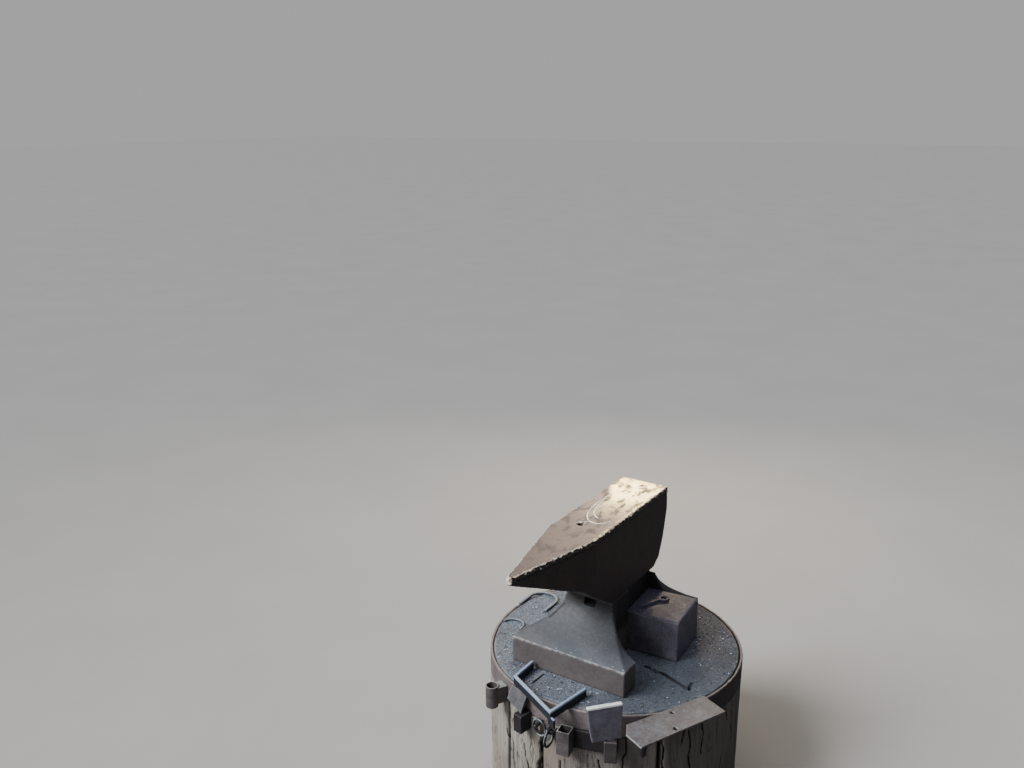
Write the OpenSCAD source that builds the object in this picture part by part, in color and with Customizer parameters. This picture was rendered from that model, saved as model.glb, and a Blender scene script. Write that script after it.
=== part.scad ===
// Blacksmith's anvil with a square horn and a side upsetting block, standing
// on an iron-hooped log that carries tool sockets, a tool loop and a shelf.
// The axis of the log is the Z axis and the floor is z = 0. The horn points
// to -X and the upsetting block stands on the -Y side.

/* [Log] */
// Radius of the log
log_r = 308; // [270:1:350]
// Height of the log
log_h = 350; // [250:1:500]
// How far the outline of the log swings from a true circle
log_wave = 3; // [0:0.5:6]
// Gap between the hoop and the wood inside it, at the top
crown_gap = 2.5; // [1:0.5:5]
// Depth of that gap
crown_z = 9; // [4:1:20]
// Width of the widest shrinkage crack at the rim
crack_w = 11; // [4:0.5:16]
// Depth of the longest shrinkage crack, from the rim inwards
crack_d = 85; // [40:1:120]
// Width of the cracks across the top
top_crack_w = 6; // [2:0.5:10]
// Depth of the cracks across the top
top_crack_d = 14; // [6:1:30]

/* [Hoop] */
// Thickness of the hoop
hoop_t = 6; // [4:0.5:10]
// Height of the hoop
hoop_h = 55; // [35:1:80]
// Length of the lap where the ends of the hoop are riveted together
hoop_lap = 90; // [50:1:140]

/* [Anvil] */
// Distance from the centre line of the anvil to the axis of the log
anvil_y = 19; // [0:1:40]
// Height of the anvil, from the log to the face
anvil_h = 356; // [320:1:400]
// Width of the face
face_w = 126; // [100:1:150]
// Thickness of the steel face plate
face_t = 14; // [8:0.5:22]
// Distance from the middle of the base to the heel end of the face
heel_x = 182; // [160:1:220]
// Distance from the middle of the base to the root of the horn
horn_x = 185; // [150:1:210]
// Length of the horn
horn_l = 262; // [200:1:320]
// Length of the root of the horn, where its underside turns down
horn_root_l = 40; // [25:1:60]
// Width of the tip of the horn
horn_tip_w = 10; // [8:1:30]
// How far the underside of the horn drops from tip to root
horn_drop = 118; // [90:1:140]
// Height of the tip of the horn under the face plate
horn_tip_h = 3; // [2:0.5:10]
// Side of the square hardie hole
hardie_s = 16; // [12:0.5:26]
// Distance from the middle of the base to the hardie hole
hardie_x = 133; // [110:1:150]
// Distance from the centre line of the anvil to the hardie hole
hardie_y = 10; // [0:1:20]

/* [Waist and base] */
// Length of the waist on the horn side of the middle
waist_x = 104; // [85:1:120]
// Length of the waist on the heel side of the middle
waist_heel_x = 122; // [95:1:130]
// Height of the narrowest place of the waist
waist_z = 162; // [150:1:180]
// Length of the base
base_l = 414; // [360:1:460]
// Width of the base
base_w = 296; // [250:1:340]
// Height of the upright edge of the base
base_h = 62; // [40:1:75]
// Length of each foot at its end
foot_l = 58; // [40:1:80]
// Width of the porter hole in the end of the waist
porter_w = 30; // [20:1:36]
// Height of the porter hole
porter_h = 18; // [12:1:30]
// Distance from the centre line of the anvil to the middle of the porter hole
porter_y = 4; // [0:1:15]
// Depth of the porter hole
porter_d = 45; // [30:1:70]

/* [Upsetting block] */
// Length of the upsetting block along the anvil
block_l = 138; // [100:1:150]
// Distance from the middle of the base to the middle of the block's root
block_x = 49; // [40:1:55]
// Angle that the block is turned to the horn side
block_turn = 3.5; // [0:0.5:6]
// Distance from the centre line of the anvil to the inner end of the block
block_in = 50; // [45:1:58]
// Distance from the centre line of the anvil to the outer end of the block
block_reach = 183; // [160:1:200]
// Height of the block
block_h = 103; // [85:1:115]

/* [Tool loop] */
// Thickness of the bar of the tool loop
loop_t = 7; // [4:0.5:10]
// Height of the bar of the tool loop
loop_h = 22; // [14:1:35]
// Distance between the base and the ends of the tool loop
loop_gap = 6; // [1:1:20]
// Reach of the left corner of the loop past its left end
loop_left_out = 75; // [60:1:95]
// Reach of the right corner of the loop past its left end
loop_right_out = 148; // [130:1:165]
// Reach of the right end of the loop past its left end
loop_end_out = 31; // [20:1:60]
// Distance from the middle of the log to the left side of the loop
loop_left_y = 105; // [85:1:125]
// Distance from the middle of the log to the right corner of the loop
loop_right_y = 32; // [15:1:50]
// Distance from the middle of the log to the right end of the loop
loop_end_y = 53; // [30:1:70]
// Length of the tongue that runs on past the right corner of the loop
tongue_l = 17; // [8:1:30]

/* [Tool sockets] */
// Outer radius of the pipe socket
pipe_r = 15; // [11:0.5:18]
// Wall of the pipe socket
pipe_wall = 2.5; // [1.5:0.5:4]
// Length of the pipe socket
pipe_l = 54; // [40:1:80]
// Depth of the mouth of the pipe socket under the top of the log
pipe_z = 14; // [5:1:25]
// Outer side of the square socket
square_s = 30; // [24:1:38]
// Wall of the square socket
square_wall = 3.5; // [2:0.5:5]
// Length of the square socket
square_l = 59; // [40:1:80]
// Depth of the mouth of the square socket under the top of the log
square_z = 36; // [25:1:50]
// Distance from the hoop to the axis of the pipe socket
pipe_off = 33; // [26:1:40]
// Height of the block between the pipe socket and the hoop
saddle_h = 42; // [25:1:50]
// Thickness of the strap that holds the square socket
strap_t = 9; // [4:0.5:12]
// Height of the strap that holds the square socket
strap_h = 46; // [30:1:60]
// Depth of the upper edge of the strap under the top of the log
strap_z = 44; // [38:1:50]

/* [Side plates] */
// Width of the leaning plate
lean_w = 52; // [40:1:60]
// Length of the leaning plate down its long side
lean_l = 45; // [38:1:50]
// Length of the leaning plate down its short side
lean_short_l = 33; // [25:1:40]
// Angle between the leaning plate and an upright
lean_a = 27; // [15:1:35]
// Thickness of the leaning plate
lean_t = 6; // [4:0.5:8]
// Width of the block under the leaning plate
lean_block_w = 24; // [16:1:36]
// Depth of that block from the hoop outwards
lean_block_d = 34; // [24:1:45]
// Height of that block
lean_block_h = 44; // [30:1:60]
// Width of the hung plate
hung_w = 80; // [60:1:100]
// Height of the hung plate
hung_h = 86; // [60:1:110]
// Thickness of the hung plate
hung_t = 10; // [6:0.5:12]
// How far the hung plate stands above the log
hung_up = 44; // [20:1:55]
// How much narrower the hung plate is at its lower left corner
hung_cut = 13; // [4:1:25]
// Width of the shank of the hung plate
shank_w = 14; // [8:1:18]
// Length of the shank of the hung plate
shank_l = 36; // [20:1:42]
// Side of the square bracket that holds the hung plate
bracket_s = 28; // [24:1:36]
// Height of that bracket
bracket_h = 52; // [45:1:70]
// Length of the shelf plate
shelf_l = 233; // [180:1:280]
// Width of the shelf plate
shelf_w = 68; // [60:1:90]
// How much wider the shelf plate is at its left end
shelf_skew = 8; // [0:1:15]
// Thickness of the shelf plate
shelf_t = 5; // [3:0.5:8]
// How far the outer edge of the shelf plate stands out past the log
shelf_stand = 55; // [45:1:65]
// Radius of the two holes in the shelf plate
shelf_hole_r = 5; // [3:0.5:7]
// Width of the arm under the shelf plate
arm_w = 16; // [10:1:18]
// Thickness of the arm under the shelf plate
arm_t = 14; // [8:1:20]

/* [Loose iron] */
// Radius of the bar of the two hook rings
ring_bar_r = 3; // [2:0.5:4]
// Radius of the hook rings, to the middle of their bar
ring_r = 19; // [15:0.5:20]
// Width of the horseshoe on the log
shoe_w = 84; // [70:1:110]
// Length of the horseshoe on the log
shoe_l = 92; // [85:1:130]
// Width of the iron of the horseshoe
shoe_iron = 8; // [6:1:22]
// Thickness of the horseshoe
shoe_t = 7; // [4:0.5:10]
// Half the thickness of the eye bolt
eye_bar_r = 3; // [2:0.5:4]
// Radius of the hole in the eye bolt
eye_r = 7; // [5:0.5:10]
// Length of the eye bolt's shank, from the middle of its eye
eye_shank = 71; // [40:1:80]
// Radius of the bent spike, to the middle of its bar
spike_r = 28.5; // [18:0.5:32]
// Radius of the bar of the bent spike
spike_bar_r = 3; // [2:0.5:6]
// Radius of the loose rod
rod_r = 2.5; // [1.5:0.5:5]
// Length of the loose rod
rod_l = 46; // [20:1:60]

/* [Hidden] */

// Clearance of pieces that seat on each other
fit = 0.3;
// How far a cut runs past the face it opens
over = 1;
// Corners of the outline of the log
log_steps = 120;
// Bearing of each shrinkage crack, and its share of the full width and depth
cracks = [[142.5, 0.5], [155.2, 0.7], [164.6, 0.5], [175.5, 1], [194.8, 0.6], [211, 0.4],
          [226.5, 0.8], [245, 0.6], [262, 0.4], [295, 0.7], [330, 0.9], [12, 0.6],
          [48, 0.8], [83, 0.6], [121, 0.8]];
// How far the shrinkage cracks end under the top, where scale has filled them
crack_top = 24;
// Courses of the two cracks across the top
top_cracks = [[[-60, -121], [-68, -158], [-93, -235], [-71, -230]], [[17, 197], [100, 204]]];

// Distance from the axis to the surface of the log at a bearing
function log_at(a) = log_r + log_wave * (cos(2 * a + 40) + 0.5 * cos(5 * a)) - log_wave;
// Outline of the log, moved in or out
function log_outline(move) =
    [for (i = [0 : log_steps - 1]) let (a = i * 360 / log_steps)
        (log_at(a) + move) * [cos(a), sin(a)]];

// Goes to a bearing on the outer face of the hoop: +X points outwards there
module at_rim(a, z = 0) {
    rotate([0, 0, a])
        translate([log_at(a), 0, log_h + z])
            children();
}

module log() {
    color("tan")
    difference() {
        linear_extrude(log_h)
            polygon(log_outline(0));
        // Seat of the hoop, and the gap inside it at the top
        rim_cut(log_h - hoop_h - fit, hoop_t + fit);
        rim_cut(log_h - crown_z, hoop_t + crown_gap);
        shrinkage_cracks();
        for (course = top_cracks)
            translate([0, 0, log_h - top_crack_d])
                linear_extrude(top_crack_d + over)
                    polygon(bar_outline(course, top_crack_w));
    }
}

// Cuts the rim of the log away from a height up, to a depth
module rim_cut(z, depth) {
    translate([0, 0, z])
        linear_extrude(log_h - z + over)
            difference() {
                polygon(log_outline(over));
                polygon(log_outline(-depth));
            }
}

// Wedge-shaped cracks that open at the rim and run down the side
module shrinkage_cracks() {
    for (c = cracks) {
        depth = crack_d * c[1];
        half = crack_w * c[1] / 2;
        rotate([0, 0, c[0]])
            translate([0, 0, -over])
                linear_extrude(log_h - crack_top + over)
                    polygon([[log_r + log_wave, -half], [log_r + log_wave, half],
                             [log_r - hoop_t - depth, 0]]);
    }
}

module hoop() {
    color("dimgray")
    translate([0, 0, log_h - hoop_h])
        linear_extrude(hoop_h)
            difference() {
                polygon(log_outline(0));
                polygon(log_outline(-hoop_t));
            }
}

// Band that follows the outside of the hoop from one bearing to another
module rim_band(from_a, to_a, t, z, h) {
    translate([0, 0, log_h - z - h])
        linear_extrude(h)
            intersection() {
                difference() {
                    polygon(log_outline(fit + t));
                    polygon(log_outline(fit));
                }
                polygon([[0, 0], 2 * log_r * [cos(from_a), sin(from_a)],
                         2 * log_r * [cos(to_a), sin(to_a)]]);
            }
}

// Bearing of the riveted lap of the hoop, at the back
lap_a = 60;
// Outer end of the hoop, riveted over the other one
module hoop_lap_end() {
    half_a = hoop_lap / log_r * 90 / PI;
    color("dimgray")
    rim_band(lap_a - half_a, lap_a + half_a, hoop_t, 0, hoop_h);
}

// Places a child on the anvil's own centre line, on top of the log
module on_log() {
    translate([0, anvil_y, log_h])
        children();
}

// Half-width of a flare that curves in from the edge of the base to the waist
flare_power = 2.1;
function flare(z, wide, narrow) =
    let (u = (z - base_h) / (waist_z - base_h))
    narrow + (wide - narrow) * pow(1 - u, flare_power);
flare_steps = 14;
function flare_points(wide, narrow, side) =
    [for (i = [0 : flare_steps]) let (z = base_h + (waist_z - base_h) * i / flare_steps)
        [side * flare(z, wide, narrow), z]];
function reversed(list) = [for (i = [len(list) - 1 : -1 : 0]) list[i]];

// How far the face plate stands out over the flanks of the body
face_lip = 2;
// Distance from the centre line of the anvil to the flank of its body and waist
flank_y = face_w / 2 - face_lip;
// Side view of the base: feet, flares and the root of the waist
base_side = concat([[-base_l / 2, 0]], flare_points(base_l / 2, waist_x, -1),
                   reversed(flare_points(base_l / 2, waist_heel_x, 1)), [[base_l / 2, 0]]);
// End view of the base
base_end = concat([[-base_w / 2, 0]], flare_points(base_w / 2, flank_y, -1),
                  reversed(flare_points(base_w / 2, flank_y, 1)), [[base_w / 2, 0]]);
// Depth of the bay between the feet, in to the flank of the waist
bay_d = base_w / 2 - flank_y;
// Corners of each round end of a bay
bay_steps = 18;
// Plan of the bay on the +Y side: straight along the flank, round at both ends
bay_plan = [for (i = [0 : 2 * bay_steps + 1])
    let (end = i > bay_steps ? 1 : -1, a = (i - (end > 0 ? bay_steps + 1 : bay_steps)) * 90 / bay_steps,
         middle = base_l / 2 - foot_l - bay_d)
    [end * middle + bay_d * sin(a), base_w / 2 - bay_d * cos(a)]];

// Extrudes a side view across the anvil, centred on its centre line
module across(width) {
    rotate([90, 0, 0])
        translate([0, 0, -width / 2])
            linear_extrude(width)
                children();
}
// Extrudes an end view along the anvil, centred on the middle of the base
module along(length) {
    rotate([90, 0, 90])
        translate([0, 0, -length / 2])
            linear_extrude(length)
                children();
}

module anvil_base() {
    color("slategray")
    on_log()
        difference() {
            intersection() {
                across(base_w + 2 * over) polygon(base_side);
                along(base_l + 2 * over) polygon(base_end);
            }
            foot_bay();
            mirror([0, 1, 0]) foot_bay();
            block_seat();
            porter_hole();
        }
}

// Bay with upright walls between the feet, on the +Y side
module foot_bay() {
    outer_x = base_l / 2 - foot_l;
    translate([0, 0, -over])
        linear_extrude(waist_z + 2 * over)
            polygon(concat(bay_plan, [[outer_x, base_w / 2 + over], [-outer_x, base_w / 2 + over]]));
}

// Goes to the root of the upsetting block: -Y runs along it to its outer end
module at_block() {
    translate([block_x, 0, 0])
        rotate([0, 0, block_turn])
            children();
}

// Room for the upsetting block against the flank of the waist
module block_seat() {
    at_block()
        translate([-block_l / 2 - fit, -block_reach - over, -over])
            cube([block_l + 2 * fit, block_reach + over - block_in + fit, waist_z + 2 * over]);
}

// Hole for the porter bar, in the end of the waist under the horn
module porter_hole() {
    translate([-base_l / 2, -porter_y - porter_w / 2, waist_z - porter_roof - porter_h])
        cube([base_l / 2 - waist_x + porter_d, porter_w, porter_h]);
}
// Thickness of the iron over the porter hole
porter_roof = 4;

// Underside of the face plate, over the log
body_top = anvil_h - face_t;
// How far the root of the horn hangs lower than its straight underside
horn_root_drop = 12;
// Profile of the heel end: distances from the end of the face and under the plate
heel_profile = [[0, 0], [5, 40], [0, 64], [-6, 89], [-13, 114], [-23, 137], [-33, 161]];
// Side view of the body between the waist and the face plate
body_side = concat([[-waist_x, waist_z], [-horn_x, body_top - horn_drop - horn_root_drop],
                    [-horn_x, body_top]],
                   [for (p = heel_profile) [heel_x + p.x, body_top - p.y]],
                   [[waist_heel_x, waist_z]]);

module anvil_body() {
    color("slategray")
    on_log()
        difference() {
            across(2 * flank_y) polygon(body_side);
            hardie_hole();
        }
}

// Square hole for the shanks of tools, through the face beside the horn
module hardie_hole() {
    translate([-hardie_x - hardie_s / 2, hardie_y - hardie_s / 2, waist_z])
        cube([hardie_s, hardie_s, anvil_h]);
}

// Plan of the face and the flat top of the horn, moved in by a margin
function face_plan(margin) =
    let (half = face_w / 2 - margin, tip = horn_tip_w / 2 - margin / 3)
    [[heel_x - margin, -half], [heel_x - margin, half], [-horn_x, half],
     [-horn_x - horn_l + margin, tip], [-horn_x - horn_l + margin, -tip], [-horn_x, -half]];

// Place along the horn where its underside turns down into the root
horn_turn_x = horn_x + horn_root_l;
module horn() {
    tip_x = horn_x + horn_l - 2 * face_lip;
    color("slategray")
    on_log()
        intersection() {
            across(face_w)
                polygon([[-horn_x, body_top], [-tip_x, body_top], [-tip_x, body_top - horn_tip_h],
                         [-horn_turn_x, body_top - horn_drop * 0.86],
                         [-horn_x, body_top - horn_drop - horn_root_drop]]);
            translate([0, 0, waist_z])
                linear_extrude(anvil_h)
                    polygon(face_plan(face_lip));
        }
}

module face_plate() {
    color("rosybrown")
    on_log()
        difference() {
            translate([0, 0, body_top])
                linear_extrude(face_t)
                    polygon(face_plan(0));
            hardie_hole();
        }
}

module upsetting_block() {
    color("darkslategray")
    on_log()
        at_block()
            translate([-block_l / 2, -block_reach, 0])
                cube([block_l, block_reach - block_in, block_h]);
}

// Corners of the tool loop, from its left end to its right end
loop_x = -base_l / 2 - loop_gap;
loop_path = [[loop_x, loop_left_y], [loop_x - loop_left_out, loop_left_y],
             [loop_x - loop_right_out, -loop_right_y], [loop_x - loop_end_out, -loop_end_y]];

// Unit normal to the left of the way from one point to another
function normal(from, to) = [from.y - to.y, to.x - from.x] / norm(to - from);
// Point of a bent bar's edge at a corner of its path, a distance to the left
function bar_edge(path, i, off) =
    let (before = normal(path[max(i - 1, 0)], path[max(i, 1)]),
         after = normal(path[min(i, len(path) - 2)], path[min(i + 1, len(path) - 1)]))
    path[i] + off * (before + after) / (1 + before * after);
// Outline of a flat bar on edge, bent sharply at each corner of its path
function bar_outline(path, t) =
    concat([for (i = [0 : len(path) - 1]) bar_edge(path, i, t / 2)],
           [for (i = [len(path) - 1 : -1 : 0]) bar_edge(path, i, -t / 2)]);

module tool_loop() {
    way = loop_path[2] - loop_path[1];
    color("lightslategray") {
        translate([0, 0, log_h])
            linear_extrude(loop_h)
                polygon(bar_outline(loop_path, loop_t));
        // Tongue that hangs down past the right corner
        translate([loop_path[2].x, loop_path[2].y, log_h - tongue_drop])
            rotate([0, 0, atan2(way.y, way.x)])
                translate([-loop_t, -loop_t / 2 + tongue_inset, 0])
                    cube([tongue_l + loop_t, loop_t - 2 * tongue_inset, loop_h]);
    }
}
// How much lower than the loop its tongue hangs
tongue_drop = 13;
// How far the sides of the tongue lie within those of the loop
tongue_inset = 0.5;

// Bearing of the pipe socket
pipe_a = 152.2;
// Thickness of the floor of each socket
socket_floor = 4;
module pipe_socket() {
    color("dimgray")
    at_rim(pipe_a, -pipe_z - pipe_l)
        translate([pipe_off, 0, 0])
            difference() {
                cylinder(h = pipe_l, r = pipe_r, $fn = 48);
                translate([0, 0, socket_floor])
                    cylinder(h = pipe_l, r = pipe_r - pipe_wall, $fn = 48);
            }
}

// Forged block between the pipe socket and the hoop
module pipe_saddle() {
    saddle_w = 2 * pipe_r - 2;
    color("dimgray")
    at_rim(pipe_a, -pipe_z - saddle_step - saddle_h)
        difference() {
            translate([fit, -saddle_w / 2, 0])
                cube([pipe_off - fit, saddle_w, saddle_h]);
            translate([pipe_off, 0, -over])
                cylinder(h = saddle_h + 2 * over, r = pipe_r + fit, $fn = 48);
        }
}
// How far the top of the saddle lies under the mouth of the pipe
saddle_step = 4;

// Bearing of the square socket
square_a = 188.5;
module square_socket() {
    color("dimgray")
    at_rim(square_a, -square_z - square_l)
        translate([strap_t + 2 * fit, -square_s / 2, 0])
            difference() {
                cube([square_s, square_s, square_l]);
                translate([square_wall, square_wall, socket_floor])
                    cube([square_s - 2 * square_wall, square_s - 2 * square_wall, square_l]);
            }
}

// Bearing of the bracket of the hung plate
bracket_a = 206;
// Strap that carries the square socket and the bracket of the hung plate
module socket_strap() {
    color("dimgray")
    rim_band(square_a - strap_half_a, bracket_a + strap_half_a, strap_t, strap_z, strap_h);
}
// Bearing between the middle of a socket and the end of the strap
strap_half_a = (square_s / 2 + 2) / log_r * 180 / PI;

// Bearing of the leaning plate
lean_pos_a = 164.2;
// The plate leans on the upper edge of the hoop and stands on the block under it
module lean_plate() {
    color("darkgray")
    at_rim(lean_pos_a, -fit)
        translate([fit + lean_t * cos(lean_a), -lean_w / 2, 0])
            rotate([0, 180 - lean_a, 0])
                rotate([90, 0, 90])
                    linear_extrude(lean_t)
                        polygon([[0, 0], [lean_w, 0], [lean_w, lean_l], [0, lean_short_l]]);
}
// Depth of the foot of the leaning plate under the top of the log
lean_foot_z = fit + lean_t * sin(lean_a) + lean_l * cos(lean_a);

// Bearing of the block under the leaning plate
lean_block_a = 168;
module lean_plate_block() {
    color("dimgray")
    at_rim(lean_block_a, -lean_foot_z - fit - lean_block_h)
        translate([fit, -lean_block_w / 2, 0])
            cube([lean_block_d, lean_block_w, lean_block_h]);
}

// Angle between the hung plate and the rim
hung_turn = 22;
// How far the middle of the hung plate lies to the left of its shank
hung_shift = 16;
// Foot of the hung plate, over the top of the log
hung_foot = hung_up - hung_h;
// Goes to the axis of the shank, level with the top of the log: +X points
// outwards from the plate and +Y runs along it to the right
module at_hung_plate() {
    at_rim(bracket_a)
        translate([strap_t + 2 * fit + bracket_s / 2, 0, 0])
            rotate([0, 0, hung_turn])
                children();
}
// Plate that tapers to its foot, with a shank that stands in the bracket
module hung_plate() {
    left = -hung_shift - hung_w / 2;
    right = hung_w / 2 - hung_shift;
    color("gray")
    at_hung_plate()
        translate([-hung_t / 2, 0, 0])
            rotate([90, 0, 90])
                linear_extrude(hung_t)
                    polygon([[left, hung_up], [right, hung_up], [right, hung_foot],
                             [shank_w / 2, hung_foot], [shank_w / 2, hung_foot - shank_l],
                             [-shank_w / 2, hung_foot - shank_l], [-shank_w / 2, hung_foot],
                             [left + hung_cut, hung_foot],
                             [left + hung_cut / 3, hung_foot + hung_h / 2]]);
}

// Square bracket with a slot for the shank of the hung plate
module hung_plate_bracket() {
    color("dimgray")
    difference() {
        at_rim(bracket_a, hung_foot - fit - bracket_h)
            translate([strap_t + 2 * fit, -bracket_s / 2, 0])
                cube([bracket_s, bracket_s, bracket_h]);
        at_hung_plate()
            translate([-hung_t / 2 - fit, -shank_w / 2 - fit, hung_foot - shank_l - fit])
                cube([hung_t + 2 * fit, shank_w + 2 * fit, shank_l + 2 * over]);
    }
}

// Direction that the shelf plate faces, at right angles to its long edge
shelf_a = 245;
// Distance from the axis of the log to the outer edge of the shelf plate
shelf_out = log_r + shelf_stand;
// How far the middle of the shelf plate lies to the left of that direction
shelf_shift = 95.5;
// Clipped corner of the shelf plate, along its end and along its inner edge
shelf_clip = [18, 22];
// Holes, from the inner left corner of the plate
shelf_holes = [[10, 132], [56.5, 101]];
module shelf_plate() {
    color("silver")
    rotate([0, 0, shelf_a])
        translate([shelf_out - shelf_w, -shelf_shift - shelf_l / 2, log_h])
            difference() {
                linear_extrude(shelf_t)
                    polygon([[shelf_clip.x, 0], [shelf_w, 0], [shelf_w, shelf_l], [0, shelf_l],
                             [-shelf_skew, shelf_clip.y]]);
                for (at = shelf_holes)
                    translate([at.x, at.y, -over])
                        cylinder(h = shelf_t + 2 * over, r = shelf_hole_r, $fn = 32);
            }
}

// Radius and height of the stud at the end of the arm
stud_r = 9.5;
stud_h = 22;
// Ends of the arm, from the inner left corner of the shelf plate: inside the rim, and the stud
arm_path = [[-18, 128], [shelf_w - stud_r - 1, stud_r + 1.5]];
// Arm under the shelf plate, from the hoop to a stud under the outer corner
module shelf_bracket() {
    color("dimgray")
    difference() {
        rotate([0, 0, shelf_a])
            translate([shelf_out - shelf_w, -shelf_shift - shelf_l / 2, log_h - fit]) {
                translate([0, 0, -arm_t])
                    linear_extrude(arm_t)
                        polygon(bar_outline(arm_path, arm_w));
                translate([arm_path[1].x, arm_path[1].y, -over - stud_h])
                    cylinder(h = stud_h, r = stud_r, $fn = 48);
            }
        translate([0, 0, log_h - hoop_h])
            linear_extrude(hoop_h + over)
                polygon(log_outline(fit));
    }
}

// Bearings of the peg and the staple that the hook rings hang on
peg_a = 175.8;
staple_a = 181.6;
// Depth of the peg and the staple under the top of the log
peg_z = 56;
staple_z = 61;
// Radius and length of the peg
peg_r = 4;
peg_l = 27;
// Room between the hoop and the ring on the peg
ring_room = 3;
// Angle between the ring on the peg and the rim
ring_turn = -10;
// Distance from the hoop to the middle of the ring on the peg
ring_off = ring_r * sin(abs(ring_turn)) + ring_bar_r + ring_room;
// Distance from the hoop to the end of the staple, to the middle of its bar
staple_out = ring_r + ring_bar_r + 1;
// Half the distance between the legs of the staple
staple_half = 8;

module ring_peg() {
    color("dimgray")
    at_rim(peg_a, -peg_z)
        translate([fit, 0, 0])
            rotate([0, 90, 0])
                cylinder(h = peg_l, r = peg_r, $fn = 24);
}

// Staple with two straight legs and a round end
module ring_staple() {
    color("dimgray")
    at_rim(staple_a, -staple_z) {
        for (side = [-1, 1])
            translate([fit, side * staple_half, 0])
                rotate([0, 90, 0])
                    cylinder(h = staple_out - staple_half - fit, r = ring_bar_r, $fn = 24);
        translate([staple_out - staple_half, 0, 0])
            rotate([0, 0, -90])
                rotate_extrude(angle = 180, $fn = 48)
                    translate([staple_half, 0])
                        circle(r = ring_bar_r, $fn = 24);
    }
}

// Round ring that stands in the XY plane until it is turned
module iron_ring(r, bar_r) {
    rotate_extrude($fn = 48)
        translate([r, 0])
            circle(r = bar_r, $fn = 24);
}
// Ring that hangs from the peg, nearly flat along the rim
module hook_ring_left() {
    color("dimgray")
    at_rim(peg_a, -peg_z + peg_r + fit + ring_bar_r - ring_r)
        translate([ring_off, 0, 0])
            rotate([0, 90, ring_turn])
                iron_ring(ring_r, ring_bar_r);
}
// Ring that hangs square to the rim from the staple
module hook_ring_right() {
    color("dimgray")
    at_rim(staple_a, -staple_z + 2 * ring_bar_r + fit - ring_r)
        translate([staple_out, 0, 0])
            rotate([90, 0, 0])
                iron_ring(ring_r, ring_bar_r);
}

// Places on the log of the horseshoe and of the bent spike
shoe_at = [76, 257];
spike_at = [-76, 252.5];
// Bearing of one end of the bent spike, and how far round the spike is bent
spike_a = -105;
spike_bend = 185;
module horseshoe() {
    outer = shoe_w / 2;
    inner = outer - shoe_iron;
    straight = shoe_l - outer;
    color("dimgray")
    translate([shoe_at.x, shoe_at.y, log_h])
        linear_extrude(shoe_t)
            difference() {
                union() {
                    circle(r = outer, $fn = 96);
                    translate([-straight, -outer]) square([straight, 2 * outer]);
                }
                circle(r = inner, $fn = 96);
                translate([-straight - over, -inner]) square([straight + over, 2 * inner]);
            }
}

module bent_spike() {
    color("dimgray")
    translate([spike_at.x, spike_at.y, log_h + spike_bar_r])
        rotate([0, 0, spike_a])
            rotate_extrude(angle = spike_bend, $fn = 64)
                translate([spike_r, 0])
                    circle(r = spike_bar_r, $fn = 24);
}

// Place of the eye on the upsetting block, and the way its shank points
eye_at = [79, -109];
eye_turn = -26;
module eye_bolt() {
    thick = 2 * eye_bar_r;
    color("dimgray")
    on_log()
        translate([eye_at.x, eye_at.y, block_h])
            rotate([0, 0, eye_turn])
                difference() {
                    union() {
                        cylinder(h = thick, r = eye_r + thick, $fn = 48);
                        translate([-eye_shank, -eye_bar_r, 0])
                            cube([eye_shank, thick, thick]);
                    }
                    translate([0, 0, -over])
                        cylinder(h = thick + 2 * over, r = eye_r, $fn = 48);
                }
}

// Distance between the base and the loose rod, and how far the rod lies to the left
rod_gap = 14;
rod_y = 72;
module loose_rod() {
    color("lightgray")
    translate([-base_l / 2 - rod_gap, rod_y, log_h + rod_r])
        rotate([0, -90, -5])
            cylinder(h = rod_l, r = rod_r, $fn = 24);
}

log();
hoop();
hoop_lap_end();
anvil_base();
anvil_body();
horn();
face_plate();
upsetting_block();
tool_loop();
pipe_socket();
pipe_saddle();
square_socket();
socket_strap();
lean_plate();
lean_plate_block();
hung_plate();
hung_plate_bracket();
shelf_plate();
shelf_bracket();
ring_peg();
ring_staple();
hook_ring_left();
hook_ring_right();
horseshoe();
bent_spike();
eye_bolt();
loose_rod();
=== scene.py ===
import math
import random

import bpy
import numpy as np
from mathutils import Matrix, Vector


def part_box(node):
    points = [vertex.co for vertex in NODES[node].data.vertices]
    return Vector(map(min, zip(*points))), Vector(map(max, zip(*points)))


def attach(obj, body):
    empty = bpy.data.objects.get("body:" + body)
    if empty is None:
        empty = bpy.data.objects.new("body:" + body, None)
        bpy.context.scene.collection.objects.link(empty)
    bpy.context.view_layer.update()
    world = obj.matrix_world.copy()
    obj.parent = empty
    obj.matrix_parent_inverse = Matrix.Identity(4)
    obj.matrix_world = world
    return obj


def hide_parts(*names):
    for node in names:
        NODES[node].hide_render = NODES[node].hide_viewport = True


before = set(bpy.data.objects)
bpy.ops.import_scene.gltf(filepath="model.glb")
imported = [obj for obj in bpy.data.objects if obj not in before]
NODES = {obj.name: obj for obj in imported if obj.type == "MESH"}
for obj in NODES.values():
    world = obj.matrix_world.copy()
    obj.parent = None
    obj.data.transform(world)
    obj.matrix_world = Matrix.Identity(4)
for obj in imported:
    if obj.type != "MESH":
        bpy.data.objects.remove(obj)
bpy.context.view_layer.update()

bl_info = {
    "name": "Anvil on a Hooped Log",
    "version": (1, 0, 0),
    "blender": (4, 5, 0),
    "location": "View3D > Sidebar > Anvil",
    "description": "Finishes the packed anvil, its log and the fittings on the rim",
    "category": "Object",
}

LOG_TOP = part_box("log")[1].z
FACE_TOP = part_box("face_plate")[1].z
FACE_MIDDLE_Y = (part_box("face_plate")[0].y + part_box("face_plate")[1].y) / 2
HORN_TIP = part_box("face_plate")[0].x
HUNG_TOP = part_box("hung_plate")[1].z
LOOP_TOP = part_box("tool_loop")[1].z
LOG_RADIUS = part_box("hoop")[1].x

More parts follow.
